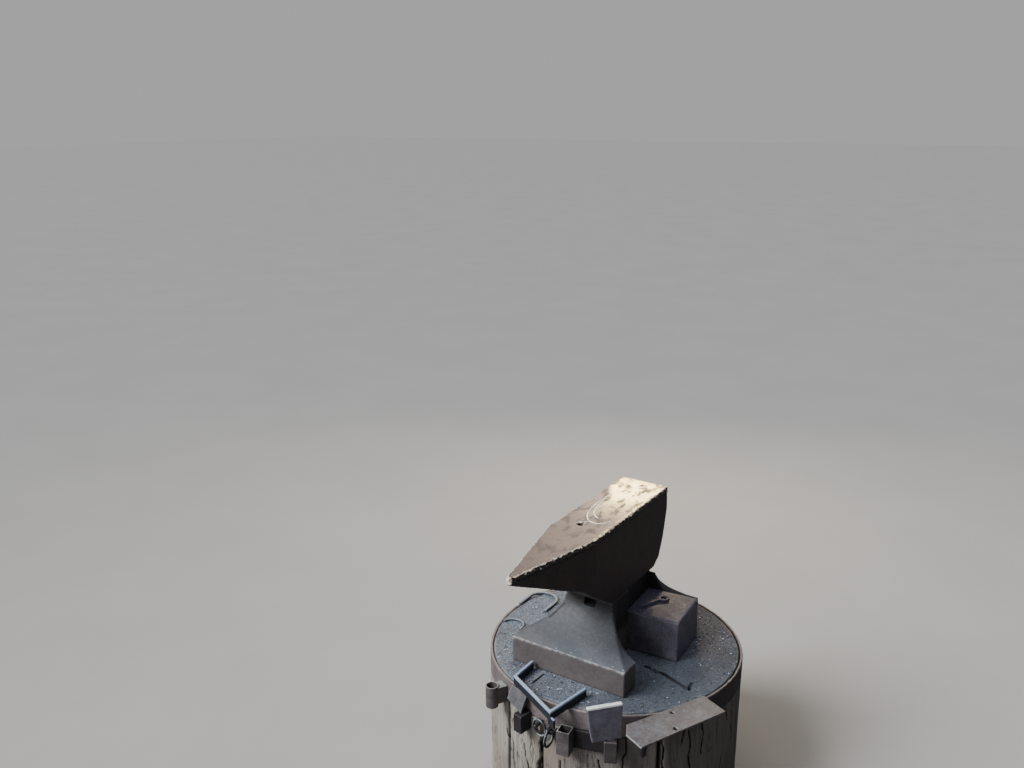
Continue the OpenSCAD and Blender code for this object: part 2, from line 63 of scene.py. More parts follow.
# Height of the top slice of the log, which carries the bed of scale
CROWN_HEIGHT = 0.016
# Where the dent patterns start, and how far apart fine dents lie, as a share of the coarse ones' distance
PATTERN_START = (3.1, 1.7, 0.4)
FINE_DENTS = 0.22
# Steps in which a crack wanders up the log, and how far beside it the wood is drawn in, in metres
CRACK_STEP = 0.009
CRACK_LIP = 0.0022
# How far a crack jumps to the side from step to step, in degrees
CRACK_JUMP = 0.34
# Bearings, in degrees, between which the cracks of SIDE_CRACKS stand and no others
BARE_SIDE = (134, 207)

# Where the log's top is split, with the half width of each split, in metres
CROWN_CRACK = [((-0.061, -0.113, LOG_TOP), (-0.067, -0.157, LOG_TOP), 0.0060),
               ((-0.067, -0.157, LOG_TOP), (-0.094, -0.235, LOG_TOP), 0.0075),
               ((-0.094, -0.235, LOG_TOP), (-0.068, -0.230, LOG_TOP), 0.0050)]
# Short dark scratches near the heel end of the face, all apart and at uneven angles
FACE_SCRATCHES = [((0.152, 0.016, FACE_TOP), (0.143, 0.004, FACE_TOP), 0.0026),
                  ((0.141, -0.009, FACE_TOP), (0.151, -0.022, FACE_TOP), 0.0022),
                  ((0.094, 0.001, FACE_TOP), (0.104, 0.007, FACE_TOP), 0.0017),
                  ((0.117, -0.006, FACE_TOP), (0.108, -0.011, FACE_TOP), 0.0018),
                  ((0.101, -0.024, FACE_TOP), (0.086, -0.017, FACE_TOP), 0.0015)]
# The cracks that open on the side before the horn: bearing at the foot and at the head of each,
# in degrees, its foot and head above the floor and its half width, in metres
SIDE_CRACKS = [(142.6, 138.6, 0.085, 0.192, 0.0012), (156.4, 152.6, 0.160, 0.228, 0.0021),
               (160.8, 157.6, 0.020, 0.200, 0.0028), (169.9, 166.0, 0.060, 0.214, 0.0021),
               (172.2, 175.6, 0.040, 0.268, 0.0052), (185.2, 184.0, 0.110, 0.215, 0.0013),
               (203.2, 201.6, 0.070, 0.240, 0.0019), (147.0, 146.0, 0.010, 0.110, 0.0016),
               (191.0, 193.5, 0.015, 0.205, 0.0022), (179.5, 181.0, 0.005, 0.120, 0.0016)]
# Where a thin dark line is drawn along the left crease of the flare of the base
BASE_DARK_LINE = [((-0.140, 0.103, 0.451), (-0.132, 0.097, 0.458)), ((-0.132, 0.097, 0.458), (-0.113, 0.080, 0.481))]


# Settings that a user would change

def colour_setting(name, description, default):
    """A colour that a user can change."""
    return bpy.props.FloatVectorProperty(
        name=name, description=description, default=default, subtype="COLOR", size=3, min=0, max=1)


def length_setting(name, description, default, low, high):
    """A length in metres that a user can change."""
    return bpy.props.FloatProperty(
        name=name, description=description, default=default, min=low, max=high, unit="LENGTH")


class ForgingSettings(bpy.types.PropertyGroup):
    chamfer: length_setting(
        "Worn edge", "Width that wear has taken off the edges of the anvil", 0.0022, 0.0005, 0.006)
    dent_depth: length_setting(
        "Dent depth", "How deep hammer marks go into the forged iron", 0.0012, 0.0, 0.004)
    dent_size: length_setting(
        "Dent size", "Distance between hammer marks", 0.035, 0.005, 0.1)
    chip_depth: length_setting(
        "Chip depth", "How ragged the edges of the face are", 0.0042, 0.0, 0.008)


class LogSettings(bpy.types.PropertyGroup):
    fibre_depth: length_setting(
        "Fibre depth", "How far the weathered fibres stand proud", 0.0018, 0.0, 0.008)
    crack_depth: length_setting(
        "Crack depth", "Depth of the widest shrinkage cracks round the log", 0.009, 0.0, 0.012)
    cracks: bpy.props.IntProperty(
        name="Cracks", description="Number of shrinkage cracks round the log, besides those before the horn",
        default=58, min=0, max=200)
    scale_depth: length_setting(
        "Scale bed", "Height of the lumps in the bed of iron scale", 0.0028, 0.0, 0.008)
    flakes: bpy.props.FloatProperty(
        name="Flakes", description="Loose flakes of scale on each square metre",
        default=16000, min=0, max=40000)
    flake_size: length_setting(
        "Flake size", "Length of a large flake of scale", 0.0042, 0.001, 0.01)


class FinishSettings(bpy.types.PropertyGroup):
    base_iron: colour_setting(
        "Base iron", "Blue-grey forged iron of the base", (0.066, 0.073, 0.081))
    body_iron: colour_setting(
        "Body iron", "Dark forged iron of the body and the horn", (0.060, 0.044, 0.043))
    block_iron: colour_setting(
        "Block iron", "Dark iron of the upsetting block", (0.155, 0.143, 0.180))
    face_steel: colour_setting(
        "Face steel", "Worn steel of the face", (0.182, 0.143, 0.142))
    hoop_iron: colour_setting(
        "Hoop iron", "Dark brown iron of the hoop", (0.205, 0.170, 0.168))
    bar_iron: colour_setting(
        "Bar iron", "Blue-grey flat bar", (0.026, 0.030, 0.043))
    socket_iron: colour_setting(
        "Socket iron", "Brown-grey iron of the sockets", (0.125, 0.108, 0.109))
    plate_steel: colour_setting(
        "Plate steel", "Dull light plate", (0.142, 0.126, 0.126))
    worn_steel: colour_setting(
        "Worn steel", "Bright metal where edges are worn", (0.62, 0.57, 0.53))
    wood_light: colour_setting(
        "Light wood", "Weathered fibres in the light", (0.50, 0.46, 0.40))
    wood_dark: colour_setting(
        "Dark wood", "Wood in the cracks and stains", (0.030, 0.024, 0.021))
    scale_light: colour_setting(
        "Light scale", "Blue-grey iron scale", (0.265, 0.305, 0.355))
    scale_dark: colour_setting(
        "Dark scale", "Iron scale in the hollows", (0.080, 0.087, 0.108))


class StageSettings(bpy.types.PropertyGroup):
    camera_place: bpy.props.FloatVectorProperty(
        name="Camera place", description="Where the camera stands", subtype="TRANSLATION",
        unit="LENGTH", size=3, default=(-1.9128, -0.9616, 1.6099))
    heading: bpy.props.FloatProperty(
        name="Heading", description="Direction that the camera looks in, from the X axis",
        default=math.radians(33.4), unit="ROTATION")
    pitch: bpy.props.FloatProperty(
        name="Pitch", description="Angle that the camera looks down",
        default=math.radians(15.8), unit="ROTATION")
    roll: bpy.props.FloatProperty(
        name="Roll", description="Turn of the camera about its own axis",
        default=math.radians(-0.3), unit="ROTATION")
    lens: bpy.props.FloatProperty(
        name="Lens", description="Focal length on a 36 mm wide sensor, in millimetres",
        default=34.16, min=10, max=200)
    side_light: bpy.props.FloatProperty(
        name="Side light", description="Strength of the cool soft light from the left",
        default=4.3, min=0)
    top_light: bpy.props.FloatProperty(
        name="Top light", description="Power of the wide soft light overhead, in watts",
        default=32, min=0)
    front_light: bpy.props.FloatProperty(
        name="Front light", description="Power of the weak light before the horn, in watts",
        default=17, min=0)
    back_light: bpy.props.FloatProperty(
        name="Back light", description="Power of the warm light behind the heel, in watts",
        default=25, min=0)
    room_light: bpy.props.FloatProperty(
        name="Room light", description="Strength of the light from all around",
        default=0.13, min=0)
    room_bright: bpy.props.FloatProperty(
        name="Room brightness", description="How bright the room behind the floor looks",
        default=0.468, min=0)


SETTINGS = {
    "forging": ForgingSettings,
    "timber": LogSettings,
    "finish": FinishSettings,
    "stage": StageSettings,
}


# Work at the bench: selecting, editing and finishing a piece

def activate(piece):
    """Selects one piece alone and makes it the active one."""
    bpy.ops.object.select_all(action="DESELECT")
    piece.select_set(True)
    bpy.context.view_layer.objects.active = piece


def added(name):
    """The primitive that was just added, under its own name."""
    piece = bpy.context.object
    piece.name = name
    activate(piece)
    return piece


def copied(node, name):
    """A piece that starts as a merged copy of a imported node's mesh."""
    piece = bpy.data.objects.new(name, NODES[node].data.copy())
    piece.data.materials.clear()
    bpy.context.scene.collection.objects.link(piece)
    activate(piece)
    bpy.ops.object.mode_set(mode="EDIT")
    bpy.ops.mesh.select_all(action="SELECT")
    bpy.ops.mesh.remove_doubles(threshold=0.00002)
    bpy.ops.mesh.dissolve_limited(angle_limit=math.radians(0.5))
    bpy.ops.mesh.select_all(action="DESELECT")
    bpy.ops.object.mode_set(mode="OBJECT")
    return piece


def modify(piece, kind, **settings):
    """Adds a modifier with these settings and applies it."""
    activate(piece)
    modifier = piece.modifiers.new(kind.lower(), kind)
    for key, value in settings.items():
        setattr(modifier, key, value)
    bpy.ops.object.modifier_apply(modifier=modifier.name)


def bevel(piece, width, segments=2):
    """Rounds the sharp edges of a piece."""
    modify(piece, "BEVEL", width=width, segments=segments, limit_method="ANGLE",
           angle_limit=math.radians(28), use_clamp_overlap=True)


def even_mesh(piece, size):
    """Gives a closed piece an even mesh that fine dents can show in."""
    modify(piece, "REMESH", mode="VOXEL", voxel_size=size, use_smooth_shade=True)


def rough(piece, depth, size, detail=3, stretch=(1, 1, 1), middle=0.5, along="NORMAL"):
    """Moves the surface in and out by a cloudy pattern, stretched along an axis."""
    pattern = bpy.data.textures.new("roughness", "CLOUDS")
    pattern.noise_scale = size
    pattern.noise_depth = detail
    guide = bpy.data.objects.new("guide", None)
    guide.scale = stretch
    guide.location = PATTERN_START
    bpy.context.scene.collection.objects.link(guide)
    bpy.context.view_layer.update()
    modify(piece, "DISPLACE", texture=pattern, strength=depth, mid_level=middle,
           texture_coords="OBJECT", texture_coords_object=guide, direction=along)
    bpy.data.objects.remove(guide)
    bpy.data.textures.remove(pattern)


def joined(pieces, name):
    """Several pieces made one."""
    bpy.ops.object.select_all(action="DESELECT")
    for piece in pieces:
        piece.select_set(True)
    bpy.context.view_layer.objects.active = pieces[0]
    bpy.ops.object.join()
    pieces[0].name = name
    return pieces[0]


def finish_piece(piece, look, replaced=()):
    """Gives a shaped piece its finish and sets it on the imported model."""
    activate(piece)
    bpy.ops.object.transform_apply(location=True, rotation=True, scale=True)
    bpy.ops.object.shade_smooth_by_angle(angle=math.radians(50))
    piece.data.materials.clear()
    piece.data.materials.append(finish_of(look))
    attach(piece, "root")
    if replaced:
        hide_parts(*replaced)
    return piece


def forged(node, name, look, mesh_size, chamfer, dent, dent_size):
    """A forged piece in place of a node: worn edges, an even mesh and hammer marks."""
    piece = copied(node, name)
    bevel(piece, chamfer)
    even_mesh(piece, mesh_size)
    rough(piece, dent, dent_size)
    rough(piece, dent * 0.35, dent_size * FINE_DENTS)
    finish_piece(piece, look, [node])


def forged_all(rows, chamfer, dent, dent_size):
    """Forges a list of pieces: node, name, finish, material slot and mesh size of each. The material slot is not
    used.
    """
    for node, name, look, slot, mesh_size in rows:
        forged(node, name, look, mesh_size, chamfer, dent, dent_size)


# Shader node groups and materials

def place(tree, kind, inputs=None, **settings):
    """Adds a shader node with its settings, values and links."""
    made = tree.nodes.new(kind)
    for key, value in settings.items():
        setattr(made, key, value)
    for key, value in (inputs or {}).items():
        if isinstance(value, bpy.types.NodeSocket):
            tree.links.new(value, made.inputs[key])
        else:
            made.inputs[key].default_value = value
    return made


def mixed(tree, share, first, second):
    """A colour between two others."""
    made = tree.nodes.new("ShaderNodeMix")
    made.data_type = "RGBA"
    for index, value in ((0, share), (6, first), (7, second)):
        if isinstance(value, bpy.types.NodeSocket):
            tree.links.new(value, made.inputs[index])
        else:
            made.inputs[index].default_value = value if index == 0 else opaque(value)
    return made.outputs[2]


def opaque(colour, share=1.0):
    """A colour at a share of its brightness, with its alpha."""
    return (colour[0] * share, colour[1] * share, colour[2] * share, 1.0)


def sums(tree, operation, *values, clamp=False):
    """A sum, product or the like of some values."""
    return place(tree, "ShaderNodeMath", dict(enumerate(values)), operation=operation,
                 use_clamp=clamp).outputs[0]


def times(tree, first, second, clamp=False):
    """The product of two values."""
    return sums(tree, "MULTIPLY", first, second, clamp=clamp)


def plus(tree, first, second):
    """The sum of two values."""
    return sums(tree, "ADD", first, second)


def most(tree, first, second):
    """The larger of two values."""
    return sums(tree, "MAXIMUM", first, second)


def spot(tree):
    """Where on the piece a point lies, which every pattern follows."""
    return tree.nodes.new("ShaderNodeTexCoord").outputs["Object"]


def outward(tree):
    """The way that the surface looks."""
    return tree.nodes.new("ShaderNodeNewGeometry").outputs["Normal"]


def axis_of(tree, vector, axis):
    """One of a vector's three values."""
    return place(tree, "ShaderNodeSeparateXYZ", {0: vector}).outputs[axis]


def length_along(tree, vector, way):
    """How far a vector reaches one way."""
    return place(tree, "ShaderNodeVectorMath", {0: vector, 1: way}, operation="DOT_PRODUCT").outputs["Value"]


def ranged(tree, value, low, high, bottom=0.0, top=1.0, smooth=True):
    """A value moved from one range to another, and clamped there."""
    return place(tree, "ShaderNodeMapRange",
                 {"Value": value, "From Min": low, "From Max": high, "To Min": bottom, "To Max": top},
                 interpolation_type="SMOOTHSTEP" if smooth else "LINEAR").outputs["Result"]


def cloud(tree, at, scale, detail=4.0, roughness=0.6, distortion=0.0):
    """The value of a noise pattern."""
    return place(tree, "ShaderNodeTexNoise",
                 {"Vector": at, "Scale": scale, "Detail": detail, "Roughness": roughness,
                  "Distortion": distortion}).outputs["Fac"]


def stretched(tree, at, scale):
    """Coordinates scaled apart along the axes."""
    return place(tree, "ShaderNodeMapping", {"Vector": at, "Scale": scale}).outputs["Vector"]


def new_group(name, inputs, outputs):
    """An empty shader node group with named sockets, and its two end nodes."""
    tree = bpy.data.node_groups.new(name, "ShaderNodeTree")
    for label, value in inputs:
        made = tree.interface.new_socket(label, in_out="INPUT", socket_type="NodeSocketFloat")
        made.default_value = value
    for label in outputs:
        tree.interface.new_socket(label, in_out="OUTPUT", socket_type="NodeSocketFloat")
    return tree, tree.nodes.new("NodeGroupInput").outputs, tree.nodes.new("NodeGroupOutput").inputs


def edge_wear_group():
    """Mask of the edges that handling has worn bright, and of the hollows, which the materials darken as dirt and
    as painted shade.
    """
    tree, given, result = new_group(
        "edge_wear", [("Start", 0.515), ("Full", 0.56), ("Breakup Scale", 70.0), ("Breakup", 0.5)],
        ["Edges", "Hollows"])
    point = tree.nodes.new("ShaderNodeNewGeometry").outputs["Pointiness"]
    patchy = ranged(tree, cloud(tree, spot(tree), given["Breakup Scale"], 4.0, 0.5), 0.35, 0.62)
    edge = place(tree, "ShaderNodeMapRange", {"Value": point, "From Min": given["Start"],
                                              "From Max": given["Full"]}).outputs["Result"]
    held = sums(tree, "SUBTRACT", 1.0, given["Breakup"])
    share = sums(tree, "MULTIPLY_ADD", patchy, given["Breakup"], held)
    tree.links.new(times(tree, edge, share, clamp=True), result["Edges"])
    # Hollows, darkened by the materials as dirt and as painted shade
    tree.links.new(ranged(tree, point, 0.49, 0.42), result["Hollows"])
    return tree


def forge_skin_group():
    """Mottled tone and fine height of forged iron."""
    tree, given, result = new_group("forge_skin", [("Scale", 40.0), ("Pits", 0.4)], ["Tone", "Height"])
    at = spot(tree)
    broad = cloud(tree, at, given["Scale"], 6.0, 0.65, 0.4)
    fine_scale = times(tree, given["Scale"], 9.0)
    fine = cloud(tree, at, fine_scale, 4.0, 0.7)
    cells = place(tree, "ShaderNodeTexVoronoi", {"Vector": at, "Scale": fine_scale}).outputs["Distance"]
    pit = times(tree, ranged(tree, cells, 0.22, 0.05), given["Pits"])
    blend = sums(tree, "MULTIPLY_ADD", fine, 0.45, times(tree, broad, 0.55))
    tree.links.new(ranged(tree, blend, 0.36, 0.64, smooth=False), result["Tone"])
    tree.links.new(sums(tree, "SUBTRACT", blend, pit), result["Height"])
    return tree


def scale_dust_group():
    """Mask of fine dust on faces that look up, and of single specks in it that the materials paint near-white as
    glints.
    """
    tree, given, result = new_group(
        "scale_dust", [("Amount", 0.5), ("Scale", 60.0), ("Sparkle", 0.5)], ["Dust", "Sparkle", "Grain"])
    at = spot(tree)
    noise = cloud(tree, at, given["Scale"], 6.0, 0.7)
    lies = ranged(tree, axis_of(tree, outward(tree), "Z"), 0.15, 0.85)
    patch = ranged(tree, plus(tree, noise, times(tree, given["Amount"], 0.5)), 0.5, 0.8)
    dust = times(tree, lies, patch, clamp=True)
    cell = place(tree, "ShaderNodeTexVoronoi", {"Vector": at, "Scale": 420.0})
    tint = place(tree, "ShaderNodeSeparateColor", {0: cell.outputs["Color"]}).outputs["Red"]
    bright = times(tree, ranged(tree, tint, 0.955, 0.99), given["Sparkle"])
    near = ranged(tree, cell.outputs["Distance"], 0.42, 0.3)
    tree.links.new(dust, result["Dust"])
    tree.links.new(times(tree, times(tree, bright, near), lies), result["Sparkle"])
    tree.links.new(tint, result["Grain"])
    return tree


def timber_grain_group():
    """Weathered fibres that run along the log, and the dark stains between them."""
    tree, given, result = new_group("timber_grain", [("Fibre Scale", 95.0)], ["Tone", "Height", "Stain"])
    at = spot(tree)
    fibres = cloud(tree, stretched(tree, at, (1.0, 1.0, 0.045)), given["Fibre Scale"], 6.0, 0.72, 0.15)
    threads = cloud(tree, stretched(tree, at, (1.0, 1.0, 0.03)), 330.0, 3.0, 0.6)
    stain = cloud(tree, stretched(tree, at, (1.0, 1.0, 0.4)), 7.0, 5.0, 0.6)
    lines = cloud(tree, stretched(tree, at, (1.0, 1.0, 0.14)), 34.0, 5.0, 0.62)
    from_line = sums(tree, "ABSOLUTE", sums(tree, "SUBTRACT", lines, 0.5))
    apart = times(tree, ranged(tree, from_line, 0.011, 0.003),
                 sums(tree, "COMPARE", lines, 0.5, 0.007))
    hair = times(tree, apart, ranged(tree, cloud(tree, at, 15.0, 3.0), 0.46, 0.58, 0.0, 0.8))
    both = plus(tree, times(tree, fibres, 0.6), times(tree, threads, 0.4))
    tree.links.new(ranged(tree, both, 0.33, 0.67, smooth=False), result["Tone"])
    tree.links.new(sums(tree, "SUBTRACT", both, hair), result["Height"])
    tree.links.new(most(tree, hair, ranged(tree, stain, 0.47, 0.74, 0.0, 0.6)), result["Stain"])
    return tree


GROUP_MAKERS = {
    "edge_wear": edge_wear_group,
    "forge_skin": forge_skin_group,
    "scale_dust": scale_dust_group,
    "timber_grain": timber_grain_group,
}


def grouped(tree, name, **values):
    """Places a shared effect in a material with its own values."""
    made = tree.nodes.new("ShaderNodeGroup")
    made.node_tree = bpy.data.node_groups.get(name) or GROUP_MAKERS[name]()
    for label, value in values.items():
        made.inputs[label.replace("_", " ")].default_value = value
    return made.outputs


def new_material(name):
    """A material with its node tree and its principled shader."""
    material = bpy.data.materials.new("anvil_" + name)
    material.use_nodes = True
    return material, material.node_tree, material.node_tree.nodes["Principled BSDF"]


def raised(tree, shader, height, distance, strength=1.0):
    """Sets a fine height on a shader."""
    bump = place(tree, "ShaderNodeBump", {"Height": height, "Distance": distance, "Strength": strength})
    tree.links.new(bump.outputs["Normal"], shader.inputs["Normal"])


# How each kind of iron differs from plain forged iron. Its colour is the setting of its name, or stands here.
# A painted highlight lies on the faces that look one way, towards the lights: that way, how much, and the colour
# there
UP = (0, 0, 1)
IRONS = {
    "body_iron": dict(skin_scale=20.0, wear=0.25, bump=0.0009, brown=0.5),
    "block_iron": dict(metal=0.15, gloss=0.58, dust=0.7, dust_colour=(0.062, 0.058, 0.098), sparkle=0.7,
                       skin_scale=26.0, wear=0.35, brown=0.3),
    # The hoop gets painted shade on its side that looks away from the light
    "hoop_iron": dict(gloss=0.58, sparkle=0.1, skin_scale=34.0, brown=0.3, painted_side_shade=0.92,
                      painted_highlight=(UP, 0.5, (0.25, 0.21, 0.20))),
    "bar_iron": dict(metal=0.25, gloss=0.5, sparkle=0.1, wear=0.6, painted_highlight=(UP, 1.0, (0.38, 0.47, 0.62)),
                     highlight_above=LOOP_TOP - 0.0055),
    "socket_iron": dict(metal=0.25, sparkle=0.1, brown=0.3, painted_highlight=(UP, 0.95, (0.38, 0.37, 0.36))),
    "plate_steel": dict(metal=0.15, gloss=0.6, dust=0.15, sparkle=0.3, skin_scale=16.0, wear=0.7, brown=0.12,
                        bump=0.0003, painted_highlight=((-0.9, 0.42, 0), 0.9, (0.42, 0.44, 0.45))),
    "hung_iron": dict(colour=(0.165, 0.155, 0.190), metal=0.15, sparkle=0.1, skin_scale=48.0, wear=0.7,
                      brown=0.2, painted_highlight=(UP, 1.0, (0.95, 0.98, 1.0)), highlight_above=HUNG_TOP - 0.006),
    "lean_steel": dict(colour=(0.100, 0.098, 0.102), metal=0.15, gloss=0.6, dust=0.1, sparkle=0.1,
                       skin_scale=24.0, wear=0.7, bump=0.0003,
                       painted_highlight=((-0.45, 0.89, 0.1), 1.0, (0.45, 0.47, 0.49))),
    "dark_iron": dict(colour=(0.028, 0.024, 0.026), gloss=0.6, wear=0.2),
    "bracket_iron": dict(colour=(0.062, 0.055, 0.053), gloss=0.6, wear=0.3, brown=0.2),
    "ring_iron": dict(colour=(0.022, 0.022, 0.027), metal=0.15, gloss=0.5, skin_scale=60.0, wear=0.05,
                      painted_highlight=((-0.65, 0.60, 0.45), 0.7, (0.40, 0.43, 0.46))),
    "dusty_iron": dict(colour=(0.10, 0.105, 0.12), dust=0.6, sparkle=0.4, skin_scale=60.0,
                       painted_highlight=((0, 0.35, 1), 0.6, (0.22, 0.24, 0.27))),
    "rod_steel": dict(colour=(0.26, 0.265, 0.28), gloss=0.5, skin_scale=60.0, brown=0.0),
}


def iron_material(name, colour=None, metal=0.2, gloss=0.55, wear=0.5, dust=0.0, dust_colour=None, sparkle=0.0,
                  skin_scale=45.0, bump=0.0006, brown=0.1, painted_highlight=None, highlight_above=None, painted_side_shade=0.0):
    """Forged iron: mottled skin, worn edges, dust where it lies with painted glints in it, a painted highlight on
    the faces that look towards the light, and, where asked, painted shade on the side away from it.
    """
    finish = bpy.context.scene.anvil_finish
    colour = colour or getattr(finish, name)
    material, tree, shader = new_material(name)
    skin = grouped(tree, "forge_skin", Scale=skin_scale, Pits=0.35)
    edges = grouped(tree, "edge_wear", Start=0.53, Full=0.60, Breakup=0.6)
    fall = grouped(tree, "scale_dust", Amount=dust, Sparkle=sparkle)
    at = spot(tree)
    tint = mixed(tree, skin["Tone"], opaque(colour, 0.55), opaque(colour, 1.35))
    rust = ranged(tree, cloud(tree, at, 14.0, 5.0, 0.65), 0.5, 0.7, 0.0, brown)
    tint = mixed(tree, rust, tint, (0.085, 0.055, 0.042))
    # Painted shade: the side that looks away from the light, towards -Y, is painted darker
    if painted_side_shade > 0:
        away = length_along(tree, at, (0.35, -0.94, 0.0))
        tint = mixed(tree, ranged(tree, away, 0.03, 0.13, 0.0, painted_side_shade), tint, opaque(colour, 0.2))
    # Hollows darkened as dirt and as painted shade
    tint = mixed(tree, times(tree, edges["Hollows"], 0.7), tint, opaque(colour, 0.25))
    if dust > 0:
        laid = times(tree, fall["Dust"], min(1.0, dust + 0.2))
        tint = mixed(tree, laid, tint, dust_colour or finish.scale_light)
    worn = times(tree, edges["Edges"], wear)
    tint = mixed(tree, worn, tint, finish.worn_steel)
    # Painted glints: near-white specks in the dust
    tint = mixed(tree, fall["Sparkle"], tint, (0.9, 0.92, 0.95))
    # Painted highlight: faces that look towards the light, or lie above a height, are painted lighter
    if painted_highlight:
        way, share, highlight_colour = painted_highlight
        side = highlit_faces(tree, way, share)
        if highlight_above:
            high = axis_of(tree, at, "Z")
            side = most(tree, side, ranged(tree, high, highlight_above, highlight_above + 0.002, 0.0, share))
        tint = mixed(tree, side, tint, highlight_colour)
    tree.links.new(tint, shader.inputs["Base Color"])
    shine = times(tree, most(tree, worn, fall["Sparkle"]), 0.45)
    tree.links.new(ranged(tree, shine, 0.0, 1.0, metal, 0.85, smooth=False), shader.inputs["Metallic"])
    dull = ranged(tree, skin["Tone"], 0.0, 1.0, gloss - 0.1, gloss + 0.12, smooth=False)
    tree.links.new(sums(tree, "SUBTRACT", dull, times(tree, worn, 0.2)), shader.inputs["Roughness"])
    raised(tree, shader, skin["Height"], bump)
    return material


def near_line(tree, at, first, last, width):
    """Mask of a thin line from one point to another."""
    run = Vector(last) - Vector(first)
    apart = place(tree, "ShaderNodeVectorMath", {0: at, 1: Vector(first)}, operation="SUBTRACT").outputs[0]
    reach = length_along(tree, apart, run / run.length_squared)
    along = place(tree, "ShaderNodeClamp", {"Value": reach}).outputs["Result"]
    foot = place(tree, "ShaderNodeVectorMath", {0: run, "Scale": along}, operation="SCALE").outputs[0]
    gap = place(tree, "ShaderNodeVectorMath", {0: apart, 1: foot}, operation="DISTANCE").outputs["Value"]
    return ranged(tree, gap, width, width * 0.5)


def highlit_faces(tree, toward, share):
    """Mask of the faces that look one way, where a highlight is painted, broken up by a cloudy pattern."""
    at = spot(tree)
    normal = outward(tree)
    facing = length_along(tree, normal, Vector(toward).normalized())
    patchy = ranged(tree, cloud(tree, at, 90.0, 4.0, 0.65), 0.3, 0.55, 0.45, 1.0)
    return times(tree, ranged(tree, facing, 0.72, 0.9, 0.0, share), patchy)


def base_material():
    """Forged base: blue-grey where scale dust lies on the flares, brown-grey on its upright sides."""
    finish = bpy.context.scene.anvil_finish
    material, tree, shader = new_material("base_iron")
    at = spot(tree)
    skin = grouped(tree, "forge_skin", Scale=13.0, Pits=0.25)
    edges = grouped(tree, "edge_wear", Start=0.512, Full=0.545, Breakup=1.0, Breakup_Scale=95.0)
    fall = grouped(tree, "scale_dust", Amount=0.7, Sparkle=0.2, Scale=20.0)
    up = axis_of(tree, outward(tree), "Z")
    high = axis_of(tree, at, "Z")
    tint = mixed(tree, skin["Tone"], opaque(finish.base_iron, 0.78), opaque(finish.base_iron, 1.2))
    warm = ranged(tree, cloud(tree, at, 8.0, 3.0, 0.5), 0.42, 0.62, 0.0, 0.6)
    across = axis_of(tree, at, "Y")
    left = ranged(tree, across, 0.02, 0.11, 0.0, 0.8)
    tint = mixed(tree, most(tree, warm, left), tint, (0.090, 0.083, 0.078))
    brown = mixed(tree, skin["Tone"], (0.104, 0.088, 0.088), (0.150, 0.130, 0.128))
    tint = mixed(tree, ranged(tree, up, 0.30, 0.10), tint, brown)
    blue = times(tree, ranged(tree, across, 0.03, -0.09), ranged(tree, up, 0.1, 0.4, 0.0, 0.65))
    tint = mixed(tree, blue, tint, (0.132, 0.136, 0.158))
    # Painted shade: the flare is painted near-black towards the waist, under the horn
    painted_waist_shade = ranged(tree, plus(tree, high, times(tree, skin["Tone"], 0.02)),
                   LOG_TOP + 0.064, LOG_TOP + 0.105, 0.0, 0.94)
    tint = mixed(tree, painted_waist_shade, tint, (0.030, 0.026, 0.026))
    tint = mixed(tree, times(tree, fall["Dust"], 0.16), tint, finish.scale_light)
    # A thin near-black line is drawn along the left crease of the flare
    for first, last in BASE_DARK_LINE:
        tint = mixed(tree, near_line(tree, at, first, last, 0.0034), tint, (0.008, 0.008, 0.009))
    # Hollows darkened as dirt and as painted shade
    tint = mixed(tree, times(tree, edges["Hollows"], 0.6), tint, opaque(finish.base_iron, 0.25))
    rim = times(tree, ranged(tree, high, LOG_TOP + 0.075, LOG_TOP + 0.068, 0.1, 0.8),
                ranged(tree, high, LOG_TOP + 0.050, LOG_TOP + 0.058, 0.15, 1.0))
    worn = times(tree, edges["Edges"], rim)
    tint = mixed(tree, worn, tint, (0.42, 0.40, 0.39))
    # Painted glints: near-white specks in the dust
    tint = mixed(tree, fall["Sparkle"], tint, (0.8, 0.84, 0.88))
    tree.links.new(tint, shader.inputs["Base Color"])
    shader.inputs["Metallic"].default_value = 0.15
    tree.links.new(ranged(tree, skin["Tone"], 0.0, 1.0, 0.52, 0.68, smooth=False), shader.inputs["Roughness"])
    raised(tree, shader, skin["Height"], 0.0006)
    return material


